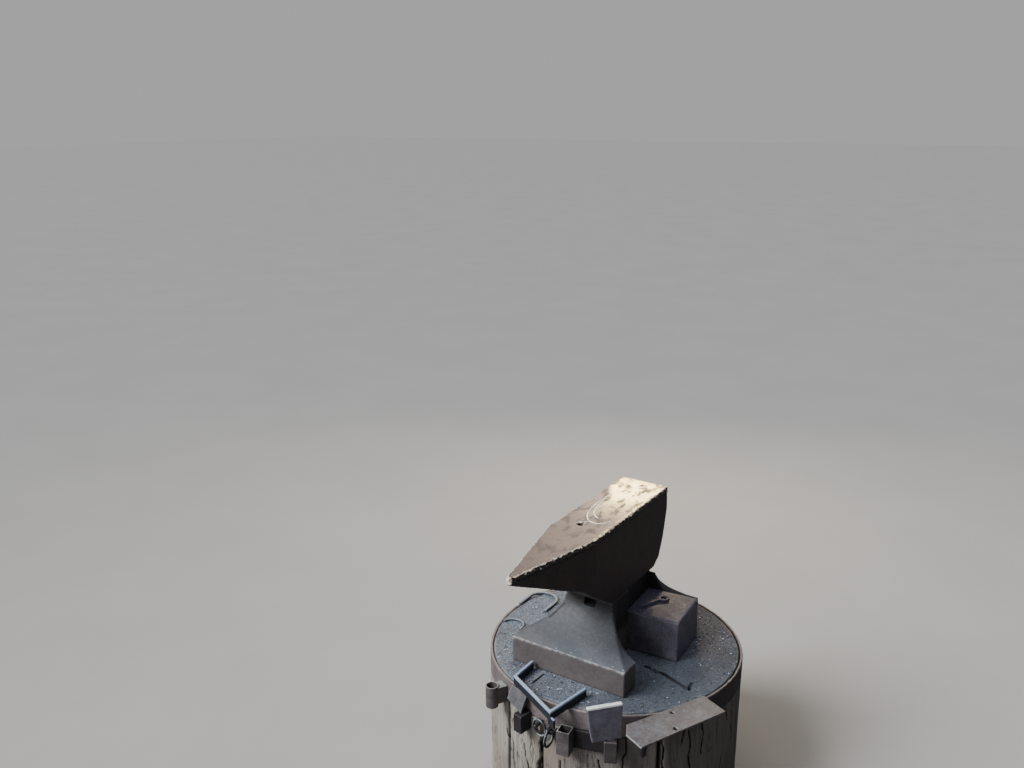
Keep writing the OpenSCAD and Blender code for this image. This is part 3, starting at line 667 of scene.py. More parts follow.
def face_material():
    """Working face: brown-grey steel, polished towards the heel with a painted golden highlight there, chipped
    along its edges, with a painted bright line along its right edge, its bevels and the horn tip.
    """
    finish = bpy.context.scene.anvil_finish
    material, tree, shader = new_material("face_steel")
    at = spot(tree)
    along = axis_of(tree, at, "X")
    skin = grouped(tree, "forge_skin", Scale=17.0, Pits=0.15)
    across = axis_of(tree, at, "Y")
    slant = times(tree, ranged(tree, along, 0.04, 0.26, smooth=False), 0.11)
    inward = ranged(tree, sums(tree, "SUBTRACT", across, slant), 0.056, 0.034)
    blots = cloud(tree, stretched(tree, at, (0.7, 1.2, 1.0)), 38.0, 6.0, 0.70)
    stain = ranged(tree, blots, 0.49, 0.62, 0.0, 0.78)
    fine = ranged(tree, cloud(tree, at, 150.0, 5.0, 0.7), 0.46, 0.66, 0.0, 0.55)
    dull_end = ranged(tree, along, 0.190, 0.150, 0.45, 0.0)
    spoiled = most(tree, most(tree, stain, fine), dull_end)
    # Polish with a painted highlight: the polished part towards the heel is painted golden, as the reflection on it
    polish_and_highlight = times(tree, ranged(tree, along, -0.135, 0.07), inward)
    spread = place(tree, "ShaderNodeVectorMath", {0: at, 1: (0.10, 0.03, FACE_TOP)}, operation="DISTANCE")
    polish_and_highlight = times(tree, polish_and_highlight, ranged(tree, spread.outputs["Value"], 0.11, 0.035, 0.70, 1.0))
    polish_and_highlight = times(tree, polish_and_highlight, sums(tree, "MULTIPLY_ADD", spoiled, -0.6, 1.0))
    scratch = cloud(tree, stretched(tree, at, (1.0, 7.0, 1.0)), 90.0, 3.0, 0.7)
    tint = mixed(tree, skin["Tone"], opaque(finish.face_steel, 0.86), opaque(finish.face_steel, 1.12))
    tint = mixed(tree, ranged(tree, along, -0.20, 0.08, 0.0, 0.7), tint, opaque(finish.face_steel, 1.75))
    tint = mixed(tree, times(tree, polish_and_highlight, 0.95), tint, (0.80, 0.665, 0.34))
    tint = mixed(tree, ranged(tree, scratch, 0.62, 0.74, 0.0, 0.3), tint, (0.50, 0.44, 0.40))
    soil = mixed(tree, ranged(tree, along, -0.12, 0.04), (0.128, 0.102, 0.100), (0.17, 0.115, 0.085))
    tint = mixed(tree, stain, tint, soil)
    # Painted highlight: a ragged bright line along the right edge of the face
    rim = times(tree, ranged(tree, across, FACE_MIDDLE_Y - 0.053, FACE_MIDDLE_Y - 0.061),
               ranged(tree, cloud(tree, at, 120.0, 4.0, 0.7), 0.40, 0.58))
    tint = mixed(tree, rim, tint, (0.94, 0.80, 0.50))
    broken = ranged(tree, cloud(tree, at, 210.0, 3.0, 0.7), 0.42, 0.58, 0.0, 0.8)
    for first, last, width in FACE_SCRATCHES:
        scored = times(tree, near_line(tree, at, first, last, width * 1.7), broken)
        tint = mixed(tree, scored, tint, (0.030, 0.022, 0.018))
    up = axis_of(tree, outward(tree), "Z")
    flank = ranged(tree, up, 0.55, 0.3)
    tint = mixed(tree, flank, tint, finish.body_iron)
    # Painted highlight on the edge bevels and at the horn tip
    ragged = ranged(tree, cloud(tree, at, 170.0, 4.0, 0.7), 0.36, 0.56, 0.25, 1.0)
    bright = times(tree, times(tree, ranged(tree, up, 0.985, 0.93), ranged(tree, up, 0.35, 0.62)), ragged)
    bright = most(tree, bright, ranged(tree, along, HORN_TIP + 0.010, HORN_TIP + 0.004))
    tint = mixed(tree, bright, tint, (0.92, 0.79, 0.60))
    tree.links.new(tint, shader.inputs["Base Color"])
    lustre = ranged(tree, polish_and_highlight, 0.0, 1.0, 0.5, 0.78, smooth=False)
    matt = sums(tree, "SUBTRACT", 1.0, most(tree, flank, bright), clamp=True)
    tree.links.new(times(tree, lustre, matt), shader.inputs["Metallic"])
    dull = ranged(tree, polish_and_highlight, 0.0, 1.0, 0.50, 0.30)
    grit = ranged(tree, stain, 0.0, 0.72, 0.0, 0.12, smooth=False)
    tree.links.new(plus(tree, dull, grit), shader.inputs["Roughness"])
    height = plus(tree, times(tree, skin["Height"], 0.7), times(tree, scratch, 0.1))
    raised(tree, shader, height, 0.0005)
    return material


def bright_material(name, low, high):
    """Bare metal that work has just rubbed bright, also used for bright flakes and painted glints."""
    material, tree, shader = new_material(name)
    at = spot(tree)
    uneven = ranged(tree, cloud(tree, at, 60.0, 4.0, 0.6), 0.3, 0.5)
    tree.links.new(mixed(tree, uneven, low, high),
                   shader.inputs["Base Color"])
    shader.inputs["Metallic"].default_value = 0.25
    shader.inputs["Roughness"].default_value = 0.35
    raised(tree, shader, cloud(tree, at, 500.0), 0.0002)
    return material


def trunk_material():
    """Bare weathered log: pale fibres, stains, cracks painted near-black inside as shade, and painted shade on the
    side away from the light.
    """
    finish = bpy.context.scene.anvil_finish
    material, tree, shader = new_material("log_wood")
    grain = grouped(tree, "timber_grain")
    edges = grouped(tree, "edge_wear", Start=0.54, Full=0.64, Breakup=0.4)
    at = spot(tree)
    warm = cloud(tree, stretched(tree, at, (1.0, 1.0, 0.2)), 9.0, 4.0, 0.6)
    tint = mixed(tree, grain["Tone"], opaque(finish.wood_light, 0.42), opaque(finish.wood_light, 0.98))
    tint = mixed(tree, ranged(tree, warm, 0.40, 0.68, 0.0, 0.7), tint, (0.29, 0.24, 0.19))
    tint = mixed(tree, grain["Stain"], tint, finish.wood_dark)
    near = place(tree, "ShaderNodeAttribute", attribute_name="crack").outputs["Fac"]
    fray = cloud(tree, stretched(tree, at, (1.0, 1.0, 0.4)), 260.0, 4.0, 0.7)
    opened = plus(tree, near, sums(tree, "MULTIPLY_ADD", fray, 0.5, -0.25))
    gape = ranged(tree, opened, 0.36, 0.52)
    soiled = ranged(tree, opened, 0.02, 0.45, 0.0, 0.5)
    tint = mixed(tree, soiled, tint, (0.19, 0.155, 0.125))
    # Painted shade: the side of the log that looks away from the light, towards -Y, is painted dark
    painted_side_shade = length_along(tree, at, (-0.17, -0.98, 0.0))
    painted_side_shade = ranged(tree, plus(tree, painted_side_shade, times(tree, warm, 0.08)), 0.06, 0.26, 0.0, 0.66)
    tint = mixed(tree, painted_side_shade, tint, (0.105, 0.094, 0.092))
    # Hollows darkened as dirt and as painted shade
    tint = mixed(tree, times(tree, edges["Hollows"], 0.5), tint, opaque(finish.wood_dark, 0.6))
    tint = mixed(tree, times(tree, edges["Edges"], 0.4), tint, opaque(finish.wood_light, 1.35))
    # Painted shade: the inside of each crack is painted near-black
    tint = mixed(tree, gape, tint, opaque(finish.wood_dark, 0.5))
    tree.links.new(tint, shader.inputs["Base Color"])
    shader.inputs["Roughness"].default_value = 0.86
    raised(tree, shader, grain["Height"], 0.0022)
    return material


def crown_material():
    """Top of the log: end grain under a bed of blue-grey iron scale, with painted glints, a split drawn near-black
    and painted shade beside the upsetting block.
    """
    finish = bpy.context.scene.anvil_finish
    material, tree, shader = new_material("log_scale")
    at = spot(tree)
    fall = grouped(tree, "scale_dust", Amount=1.0, Sparkle=1.0, Scale=45.0)
    wear = grouped(tree, "edge_wear", Start=0.53, Full=0.6, Breakup=0.3)
    coarse = cloud(tree, at, 240.0, 5.0, 0.75)
    broad = cloud(tree, at, 11.0, 4.0, 0.55)
    tint = mixed(tree, ranged(tree, coarse, 0.34, 0.68), finish.scale_dark, finish.scale_light)
    lean = length_along(tree, at, (0.9, -0.42, 0.0))
    earth = plus(tree, ranged(tree, lean, 0.0, 0.24, 0.0, 0.42), ranged(tree, broad, 0.45, 0.68, 0.0, 0.35))
    tint = mixed(tree, earth, tint, (0.088, 0.070, 0.080))
    # Painted shade on the bed beside the upsetting block
    tint = mixed(tree, block_side_shade(tree, at, 0.7), tint, (0.060, 0.075, 0.096))
    rim = place(tree, "ShaderNodeVectorMath", {0: stretched(tree, at, (1.0, 1.0, 0.0))},
                operation="LENGTH").outputs["Value"]
    bare = times(tree, ranged(tree, rim, LOG_RADIUS - 0.022, LOG_RADIUS - 0.010),
                ranged(tree, cloud(tree, at, 24.0), 0.42, 0.66, 0.0, 0.6))
    tint = mixed(tree, bare, tint, opaque(finish.wood_light, 0.75))
    # Hollows darkened as dirt and as painted shade
    tint = mixed(tree, wear["Hollows"], tint, opaque(finish.scale_dark, 0.4))
    # Painted glints: single bright specks in the scale
    tint = mixed(tree, times(tree, fall["Sparkle"], 0.8), tint, (0.62, 0.70, 0.82))
    # Painted shade: the split in the top is drawn near-black, as the shade inside it
    for first, last, width in CROWN_CRACK:
        tint = mixed(tree, near_line(tree, at, first, last, width), tint, (0.006, 0.006, 0.008))
    tree.links.new(tint, shader.inputs["Base Color"])
    tree.links.new(ranged(tree, fall["Sparkle"], 0.0, 1.0, 0.1, 0.3), shader.inputs["Metallic"])
    tree.links.new(ranged(tree, fall["Sparkle"], 0.0, 1.0, 0.72, 0.3), shader.inputs["Roughness"])
    height = plus(tree, coarse, times(tree, fall["Grain"], 0.6))
    raised(tree, shader, height, 0.0016)
    return material


def block_side_shade(tree, at, share):
    """Mask of the bed on the side of the upsetting block, where less light comes, which is painted darker as shade
    """
    side = length_along(tree, at, (-0.45, -0.89, 0.0))
    return ranged(tree, side, 0.11, 0.21, 0.0, share)


def flake_material():
    """Loose flakes of scale, blue-black with a bright glint."""
    material, tree, shader = new_material("scale_flakes")
    at = spot(tree)
    cell = place(tree, "ShaderNodeTexVoronoi", {"Vector": at, "Scale": 190.0}).outputs["Color"]
    tint = place(tree, "ShaderNodeSeparateColor", {0: cell}).outputs["Green"]
    colour = mixed(tree, ranged(tree, tint, 0.45, 0.95), (0.085, 0.095, 0.125), (0.46, 0.54, 0.66))
    # Painted shade: flakes beside the upsetting block are painted darker
    colour = mixed(tree, block_side_shade(tree, at, 0.6), colour, (0.062, 0.070, 0.090))
    tree.links.new(colour, shader.inputs["Base Color"])
    shader.inputs["Metallic"].default_value = 0.25
    tree.links.new(ranged(tree, tint, 0.0, 1.0, 0.6, 0.42), shader.inputs["Roughness"])
    raised(tree, shader, cloud(tree, at, 500.0), 0.0003)
    return material


FINISH_MAKERS = {
    "face_steel": face_material,
    "log_wood": trunk_material,
    "log_scale": crown_material,
    "scale_flakes": flake_material,
    "base_iron": base_material,
    "bright_mark": lambda: bright_material("bright_mark", (0.45, 0.38, 0.33), (0.98, 0.92, 0.82)),
    "bright_flake": lambda: bright_material("bright_flake", (0.40, 0.46, 0.55), (0.80, 0.86, 0.94)),
}


def finish_of(name):
    """The finish of one kind of iron or wood, made once."""
    made = bpy.data.materials.get("anvil_" + name)
    if made:
        return made
    return iron_material(name, **IRONS[name]) if name in IRONS else FINISH_MAKERS[name]()


# The pieces

class ANVIL_OT_log(bpy.types.Operator):
    """Make the cracked log and the bed of scale on its top"""
    bl_idname = "anvil.log"
    bl_label = "Log"

    def execute(self, context):
        timber = context.scene.anvil_timber
        cut = LOG_TOP - CROWN_HEIGHT
        trunk = copied("log", "log_trunk")
        self.keep_side(trunk, cut, below=True)
        even_mesh(trunk, 0.0028)
        rough(trunk, timber.fibre_depth, 0.007, 3, (1, 1, 14), 0.62)
        rough(trunk, timber.fibre_depth * 1.8, 0.024, 3, (1, 1, 8), 0.6)
        rough(trunk, 0.004, 0.07, 2, (1, 1, 3), 0.6)
        self.shrink(trunk, timber)
        modify(trunk, "DECIMATE", ratio=0.46)
        self.stand(trunk)
        kept = trunk.data.attributes.new("crack", "FLOAT", "POINT")
        kept.data.foreach_set("value", self.openings(trunk, timber.cracks)[0].astype(np.float32))
        finish_piece(trunk, "log_wood", ["log"])
        crown = copied("log", "log_crown")
        self.keep_side(crown, cut, below=False)
        bevel(crown, 0.0015, 1)
        even_mesh(crown, 0.0028)
        rough(crown, timber.scale_depth, 0.03, 3, (1, 1, 1), 0.5, along="Z")
        rough(crown, timber.scale_depth * 0.5, 0.007, 2, (1, 1, 1), 0.5, along="Z")
        modify(crown, "DECIMATE", ratio=0.8)
        finish_piece(crown, "log_scale")
        return {"FINISHED"}

    def shrink(self, piece, timber):
        """Opens the cracks in the side of the log"""
        points = self.points_of(piece)
        places = points.reshape(-1, 3)
        deep = self.openings(piece, timber.cracks)[1] * timber.crack_depth
        places[:, :2] *= (1 - deep / np.maximum(np.hypot(places[:, 0], places[:, 1]), 0.01))[:, None]
        piece.data.vertices.foreach_set("co", points)
        piece.data.update()

    def points_of(self, piece):
        """The places of all points of a piece, one after another"""
        points = np.empty(len(piece.data.vertices) * 3, dtype=np.float32)
        piece.data.vertices.foreach_get("co", points)
        return points

    def openings(self, piece, number):
        """For each point, how far inside a crack it lies and how deep it goes, from 0 to 1"""
        x, y, z = self.points_of(piece).reshape(-1, 3).T
        turn = np.degrees(np.arctan2(y, x)) % 360
        inside, deep = np.zeros(len(x)), np.zeros(len(x))
        draw = random.Random(4)
        for low_turn, high_turn, foot, head, width in SIDE_CRACKS + self.more_cracks(draw, number):
            heights = np.arange(foot, head, CRACK_STEP)
            steps = len(heights)
            jumps = [draw.uniform(-CRACK_JUMP, CRACK_JUMP) for _ in heights]
            middle = np.linspace(low_turn, high_turn, steps) + jumps
            middle += 0.5 * np.sin(heights * 90 + low_turn)
            widths = width * np.array([draw.uniform(0.45, 1.25) for _ in heights])
            widths *= np.sin(np.linspace(0.0, math.pi, steps)) ** 0.6
            half = np.interp(z, heights, widths, left=-1, right=-1)
            apart = np.abs((turn - np.interp(z, heights, middle) + 180) % 360 - 180)
            near = np.clip(1 - np.radians(apart) * LOG_RADIUS / (np.abs(half) + CRACK_LIP), 0, 1)
            near[half <= 0] = 0
            inside = np.maximum(inside, near)
            deep = np.maximum(deep, near * min(1.0, 0.25 + width / 0.006))
        side = np.clip((np.hypot(x, y) - LOG_RADIUS + 0.045) / 0.012, 0, 1)
        return inside * side, deep * side

    def more_cracks(self, draw, number):
        """Cracks of many lengths, spread round the rest of the log"""
        found = []
        for index in range(number):
            turn = (index + draw.uniform(-0.3, 0.3)) * 360 / number
            length = draw.uniform(0.05, 0.26)
            foot = draw.uniform(-0.02, LOG_TOP - length)
            width = draw.uniform(0.0009, 0.0022) * (2.1 if index % 7 == 3 else 1)
            if not BARE_SIDE[0] < turn < BARE_SIDE[1]:
                found.append((turn, turn + draw.uniform(-3, 3), foot, foot + length, width))
        return found

    def stand(self, piece):
        """Levels the foot of the log on the floor"""
        for point in piece.data.vertices:
            point.co.z = max(point.co.z, 0.0)

    def keep_side(self, piece, height, below):
        """Cuts the log at a height and closes the part that is kept"""
        activate(piece)
        bpy.ops.object.mode_set(mode="EDIT")
        bpy.ops.mesh.select_all(action="SELECT")
        bpy.ops.mesh.bisect(plane_co=(0, 0, height), plane_no=(0, 0, 1), use_fill=True,
                            clear_outer=below, clear_inner=not below)
        bpy.ops.object.mode_set(mode="OBJECT")


class ANVIL_OT_hoop(bpy.types.Operator):
    """Make the iron hoop with its riveted lap"""
    bl_idname = "anvil.hoop"
    bl_label = "Hoop"

    def execute(self, context):
        forged("hoop", "hoop_band", "hoop_iron", 0.0026, 0.0012, 0.0016, 0.05)
        forged("hoop_lap_end", "hoop_lap", "hoop_iron", 0.002, 0.0012, 0.0012, 0.03)
        self.rivets()
        return {"FINISHED"}

    def rivets(self):
        """Two domed rivets through the lap"""
        low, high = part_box("hoop_lap_end")
        middle = (low + high) / 2
        bearing = math.atan2(middle.y, middle.x)
        heads = []
        for turn in (-0.07, 0.07):
            out = LOG_RADIUS + 0.004
            at = (out * math.cos(bearing + turn), out * math.sin(bearing + turn), middle.z)
            bpy.ops.mesh.primitive_uv_sphere_add(segments=24, ring_count=12, radius=0.009, location=at,
                                                 rotation=(0, math.pi / 2, bearing + turn))
            head = added("rivet")
            head.scale = (1, 1, 0.45)
            heads.append(head)
        finish_piece(joined(heads, "hoop_rivets"), "hoop_iron")


class ANVIL_OT_anvil(bpy.types.Operator):
    """Make the anvil: base, body, horn, face plate and upsetting block"""
    bl_idname = "anvil.anvil"
    bl_label = "Anvil"

    def execute(self, context):
        forging = context.scene.anvil_forging
        edge, dent, size = forging.chamfer, forging.dent_depth, forging.dent_size
        forged("anvil_base", "anvil_base_forging", "base_iron", 0.0031,
               edge * 1.3, dent * 1.5, size * 1.4)
        body = self.welded("anvil_body", "horn", "body_and_horn_forging")
        bevel(body, edge)
        even_mesh(body, 0.0027)
        rough(body, dent * 1.4, size)
        rough(body, dent * 0.5, size * FINE_DENTS)
        finish_piece(body, "body_iron", ["anvil_body", "horn"])
        face = copied("face_plate", "face_plate_steel")
        bevel(face, edge * 1.4, 3)
        even_mesh(face, 0.0017)
        for along in ("X", "Y"):
            rough(face, forging.chip_depth, 0.014, 2, along=along)
            rough(face, forging.chip_depth * 1.3, 0.006, 1, along=along)
        rough(face, 0.0008, 0.06, 2, along="Z")
        modify(face, "DECIMATE", ratio=0.6)
        finish_piece(face, "face_steel", ["face_plate"])
        forged("upsetting_block", "upsetting_block_forging", "block_iron", 0.0024,
               edge * 1.4, dent * 1.5, size * 0.8)
        return {"FINISHED"}

    def welded(self, first, second, name):
        """Two nodes made one forging, with no seam between them"""
        piece, other = copied(first, name), copied(second, "welded_on")
        modify(piece, "BOOLEAN", operation="UNION", object=other, solver="EXACT")
        bpy.data.objects.remove(other)
        activate(piece)
        bpy.ops.object.mode_set(mode="EDIT")
        bpy.ops.mesh.select_all(action="SELECT")
        bpy.ops.mesh.remove_doubles(threshold=0.0001)
        bpy.ops.mesh.dissolve_limited(angle_limit=math.radians(1))
        bpy.ops.object.mode_set(mode="OBJECT")
        return piece


class ANVIL_OT_face_marks(bpy.types.Operator):
    """Make the bright arc that work has pressed into the face"""
    bl_idname = "anvil.face_marks"
    bl_label = "Marks on the face"

    def execute(self, context):
        arcs = [
            [(0.066, 0.051), (0.010, 0.056), (-0.044, 0.051), (-0.088, 0.038), (-0.112, 0.018),
             (-0.115, -0.002), (-0.102, -0.018), (-0.088, -0.024)],
            [(0.043, 0.052), (-0.006, 0.047), (-0.053, 0.038), (-0.078, 0.023), (-0.086, 0.008)],
            [(-0.120, 0.027), (-0.117, 0.022), (-0.113, 0.018)],
        ]
        for index, arc in enumerate(arcs):
            self.mark("face_mark_" + str(index + 1), arc)
        return {"FINISHED"}

    def mark(self, name, points):
        """A flat line of bright metal along a curve on the face"""
        line = bpy.data.curves.new(name, "CURVE")
        line.dimensions = "3D"
        line.bevel_depth = 0.0015
        line.resolution_u = 8
        spline = line.splines.new("NURBS")
        spline.points.add(len(points) - 1)
        for point, (x, y) in zip(spline.points, points):
            point.co = (x, y, 0.0, 1.0)
        spline.order_u = 3
        spline.use_endpoint_u = True
        mark = bpy.data.objects.new(name, line)
        bpy.context.scene.collection.objects.link(mark)
        activate(mark)
        bpy.ops.object.convert(target="MESH")
        mark.scale = (1, 1, 0.4)
        mark.location = (0, 0, FACE_TOP + 0.0002)
        finish_piece(mark, "bright_mark")


class ANVIL_OT_tool_loop(bpy.types.Operator):
    """Make the bent flat bar that keeps tools beside the anvil"""
    bl_idname = "anvil.tool_loop"
    bl_label = "Tool loop"

    def execute(self, context):
        forged("tool_loop", "tool_loop_bar", "bar_iron", 0.0014, 0.0011, 0.0008, 0.02)
        return {"FINISHED"}


class ANVIL_OT_sockets(bpy.types.Operator):
    """Make the round and the square tool socket and what holds them to the hoop"""
    bl_idname = "anvil.sockets"
    bl_label = "Tool sockets"

    def execute(self, context):
        forged_all([("pipe_socket", "pipe_socket_tube", "socket_iron", "socket_iron", 0.0011),
                    ("pipe_saddle", "pipe_saddle_block", "socket_iron", "socket_iron", 0.0016),
                    ("square_socket", "square_socket_tube", "socket_iron", "socket_iron", 0.0012),
                    ("socket_strap", "socket_strap_band", "dark_iron", "socket_iron", 0.0018)],
                   0.001, 0.0009, 0.016)
        return {"FINISHED"}


class ANVIL_OT_side_plates(bpy.types.Operator):
    """Make the leaning plate, the hung plate and the shelf plate with their holders"""
    bl_idname = "anvil.side_plates"
    bl_label = "Side plates"

    def execute(self, context):
        forged_all([("lean_plate", "lean_plate_steel", "lean_steel", "plate_steel", 0.0014),
                    ("lean_plate_block", "lean_plate_stop", "dark_iron", "socket_iron", 0.0018),
                    ("hung_plate", "hung_plate_iron", "hung_iron", "bar_iron", 0.0017),
                    ("hung_plate_bracket", "hung_plate_holder", "bracket_iron", "socket_iron", 0.0018),
                    ("shelf_plate", "shelf_plate_steel", "plate_steel", "plate_steel", 0.0018),
                    ("shelf_bracket", "shelf_arm", "dark_iron", "socket_iron", 0.0018)],
                   0.0009, 0.0008, 0.03)
        return {"FINISHED"}


class ANVIL_OT_hook_rings(bpy.types.Operator):
    """Make the two rings with the peg and the staple that they hang from"""
    bl_idname = "anvil.hook_rings"
    bl_label = "Hook rings"

    def execute(self, context):
        for node, name in (("ring_peg", "ring_peg_iron"), ("ring_staple", "ring_staple_iron"),
                           ("hook_ring_left", "ring_left_iron"), ("hook_ring_right", "ring_right_iron")):
            piece = copied(node, name)
            even_mesh(piece, 0.0008)
            rough(piece, 0.0006, 0.008)
            finish_piece(piece, "ring_iron", [node])
        return {"FINISHED"}


class ANVIL_OT_loose_iron(bpy.types.Operator):
    """Make the iron that lies on the log and on the upsetting block"""
    bl_idname = "anvil.loose_iron"
    bl_label = "Loose iron"

    def execute(self, context):
        forged_all([("horseshoe", "horseshoe_iron", "dusty_iron", "bar_iron", 0.0015),
                    ("bent_spike", "bent_spike_iron", "dusty_iron", "bar_iron", 0.0011),
                    ("eye_bolt", "eye_bolt_iron", "block_iron", "bar_iron", 0.0010),
                    ("loose_rod", "loose_rod_iron", "rod_steel", "plate_steel", 0.0008)],
                   0.0008, 0.0006, 0.012)
        return {"FINISHED"}


class ANVIL_OT_scale_flakes(bpy.types.Operator):
    """Scatter loose flakes of scale over the top of the log"""
    bl_idname = "anvil.scale_flakes"
    bl_label = "Scale flakes"

    def execute(self, context):
        timber = context.scene.anvil_timber
        reach = LOG_RADIUS - 0.012
        bpy.ops.mesh.primitive_grid_add(x_subdivisions=160, y_subdivisions=160, size=2 * reach,
                                        location=(0, 0, LOG_TOP + 0.0012))
        flakes = added("scale_flakes")
        bpy.ops.object.transform_apply(location=True, rotation=True, scale=True)
        self.clear(flakes, reach)
        modifier = flakes.modifiers.new("scatter", "NODES")
        modifier.node_group = self.scatter_tree(timber.flakes, timber.flake_size)
        bpy.ops.object.modifier_apply(modifier=modifier.name)
        finish_piece(flakes, "scale_flakes")
        self.flakes_and_glints()
        return {"FINISHED"}

    def clear(self, bed, reach):
        """Takes away the bed outside the log and over the split in its top"""
        bpy.ops.object.mode_set(mode="EDIT")
        bpy.ops.mesh.select_all(action="DESELECT")
        bpy.ops.object.mode_set(mode="OBJECT")
        for point in bed.data.vertices:
            point.select = point.co.xy.length > reach or any(
                self.gap(point.co, first, last) < width for first, last, width in CROWN_CRACK)
        bpy.ops.object.mode_set(mode="EDIT")
        bpy.ops.mesh.select_mode(type="VERT")
        bpy.ops.mesh.delete(type="VERT")
        bpy.ops.object.mode_set(mode="OBJECT")

    def gap(self, point, first, last):
        """How far a point of the bed lies from a line, seen from above"""
        start, run = Vector(first[:2]), Vector(last[:2]) - Vector(first[:2])
        share = min(1.0, max(0.0, (point.xy - start).dot(run) / run.length_squared))
        return (point.xy - start - run * share).length

    def flakes_and_glints(self):
        """A few large bright flakes, each lying where it fell on the log, and small bright plates on the foot of
        the base that are painted glints along its crease
        """
        low, high = LOG_TOP + 0.0022, LOG_TOP + 0.0655
        # The plates at the height of the foot are painted glints along the crease of the base
        lie = [(-0.218, 0.198, low, 4, 20), (-0.184, 0.203, low, 4, 70), (-0.214, 0.046, low, 4, 10),
               (-0.2535, 0.0085, low, 13, 125), (-0.282, 0.050, low, 4, 60), (-0.227, -0.056, low, 6, 30),
               (-0.222, -0.071, low, 6, 100), (-0.234, -0.050, low, 4, 80), (0.010, -0.220, low, 6, 40),
               (0.012, -0.288, low, 5, 15), (0.097, -0.261, low, 4, 90), (-0.152, -0.209, low, 4, 45),
               (-0.272, -0.060, low, 9, 120), (-0.262, -0.070, low, 8, 60), (-0.235, 0.141, low, 4, 30),
               (0.217, -0.131, low, 5, 75), (-0.200, -0.030, low, 4, 5), (-0.262, 0.032, low, 4, 140),
               (0.060, -0.180, low, 4, 25), (0.150, -0.220, low, 4, 65), (-0.1985, 0.0504, high, 9, 25),
               (-0.1975, 0.0955, high, 4, 80), (-0.1985, 0.0109, high, 5, 95), (-0.1985, -0.0392, high, 6, 85),
               (-0.1985, -0.0949, high, 8, 90), (-0.1985, -0.1205, high, 4, 80)]
        plates = []
        for x, y, z, length, turn in lie:
            bpy.ops.mesh.primitive_cube_add(size=0.001, location=(x, y, z),
                                            rotation=(0.12, 0.1, math.radians(turn)))
            plate = added("flake")
            plate.scale = (length, 2.4, 0.5)
            bpy.ops.object.transform_apply(location=True, rotation=True, scale=True)
            bevel(plate, 0.00012, 1)
            plates.append(plate)
        finish_piece(joined(plates, "bright_flakes"), "bright_flake")

    def scatter_tree(self, density, size):
        """Geometry nodes that set a small tilted plate on each of many points"""
        tree = bpy.data.node_groups.new("scatter_scale", "GeometryNodeTree")
        tree.interface.new_socket("Geometry", in_out="INPUT", socket_type="NodeSocketGeometry")
        tree.interface.new_socket("Geometry", in_out="OUTPUT", socket_type="NodeSocketGeometry")
        surface = tree.nodes.new("NodeGroupInput").outputs["Geometry"]
        points = place(tree, "GeometryNodeDistributePointsOnFaces",
                       {"Mesh": surface, "Density": density, "Seed": 7})
        flake = place(tree, "GeometryNodeMeshCube", {"Size": (size, size * 0.7, size * 0.16)})
        bent = place(tree, "GeometryNodeSetPosition", {
            "Geometry": flake.outputs["Mesh"],
            "Offset": place(tree, "FunctionNodeRandomValue", {
                0: (-size * 0.2, -size * 0.2, -size * 0.12), 1: (size * 0.2, size * 0.2, size * 0.12),
                "Seed": 3}, data_type="FLOAT_VECTOR").outputs[0]})
        turn = place(tree, "FunctionNodeRandomValue", {0: (-0.45, -0.45, 0.0), 1: (0.45, 0.45, 6.28),
                                                       "Seed": 11}, data_type="FLOAT_VECTOR")
        grow = place(tree, "FunctionNodeRandomValue", {2: 0.25, 3: 1.0, "Seed": 5}, data_type="FLOAT")
        curve = place(tree, "ShaderNodeMath", {0: grow.outputs[1], 1: 2.2}, operation="POWER")
        laid = place(tree, "GeometryNodeInstanceOnPoints", {
            "Points": points.outputs["Points"], "Instance": bent.outputs["Geometry"],
            "Rotation": turn.outputs[0], "Scale": curve.outputs[0]})
        real = place(tree, "GeometryNodeRealizeInstances", {"Geometry": laid.outputs["Instances"]})
        ends = tree.nodes.new("NodeGroupOutput")
        tree.links.new(real.outputs["Geometry"], ends.inputs["Geometry"])
        return tree


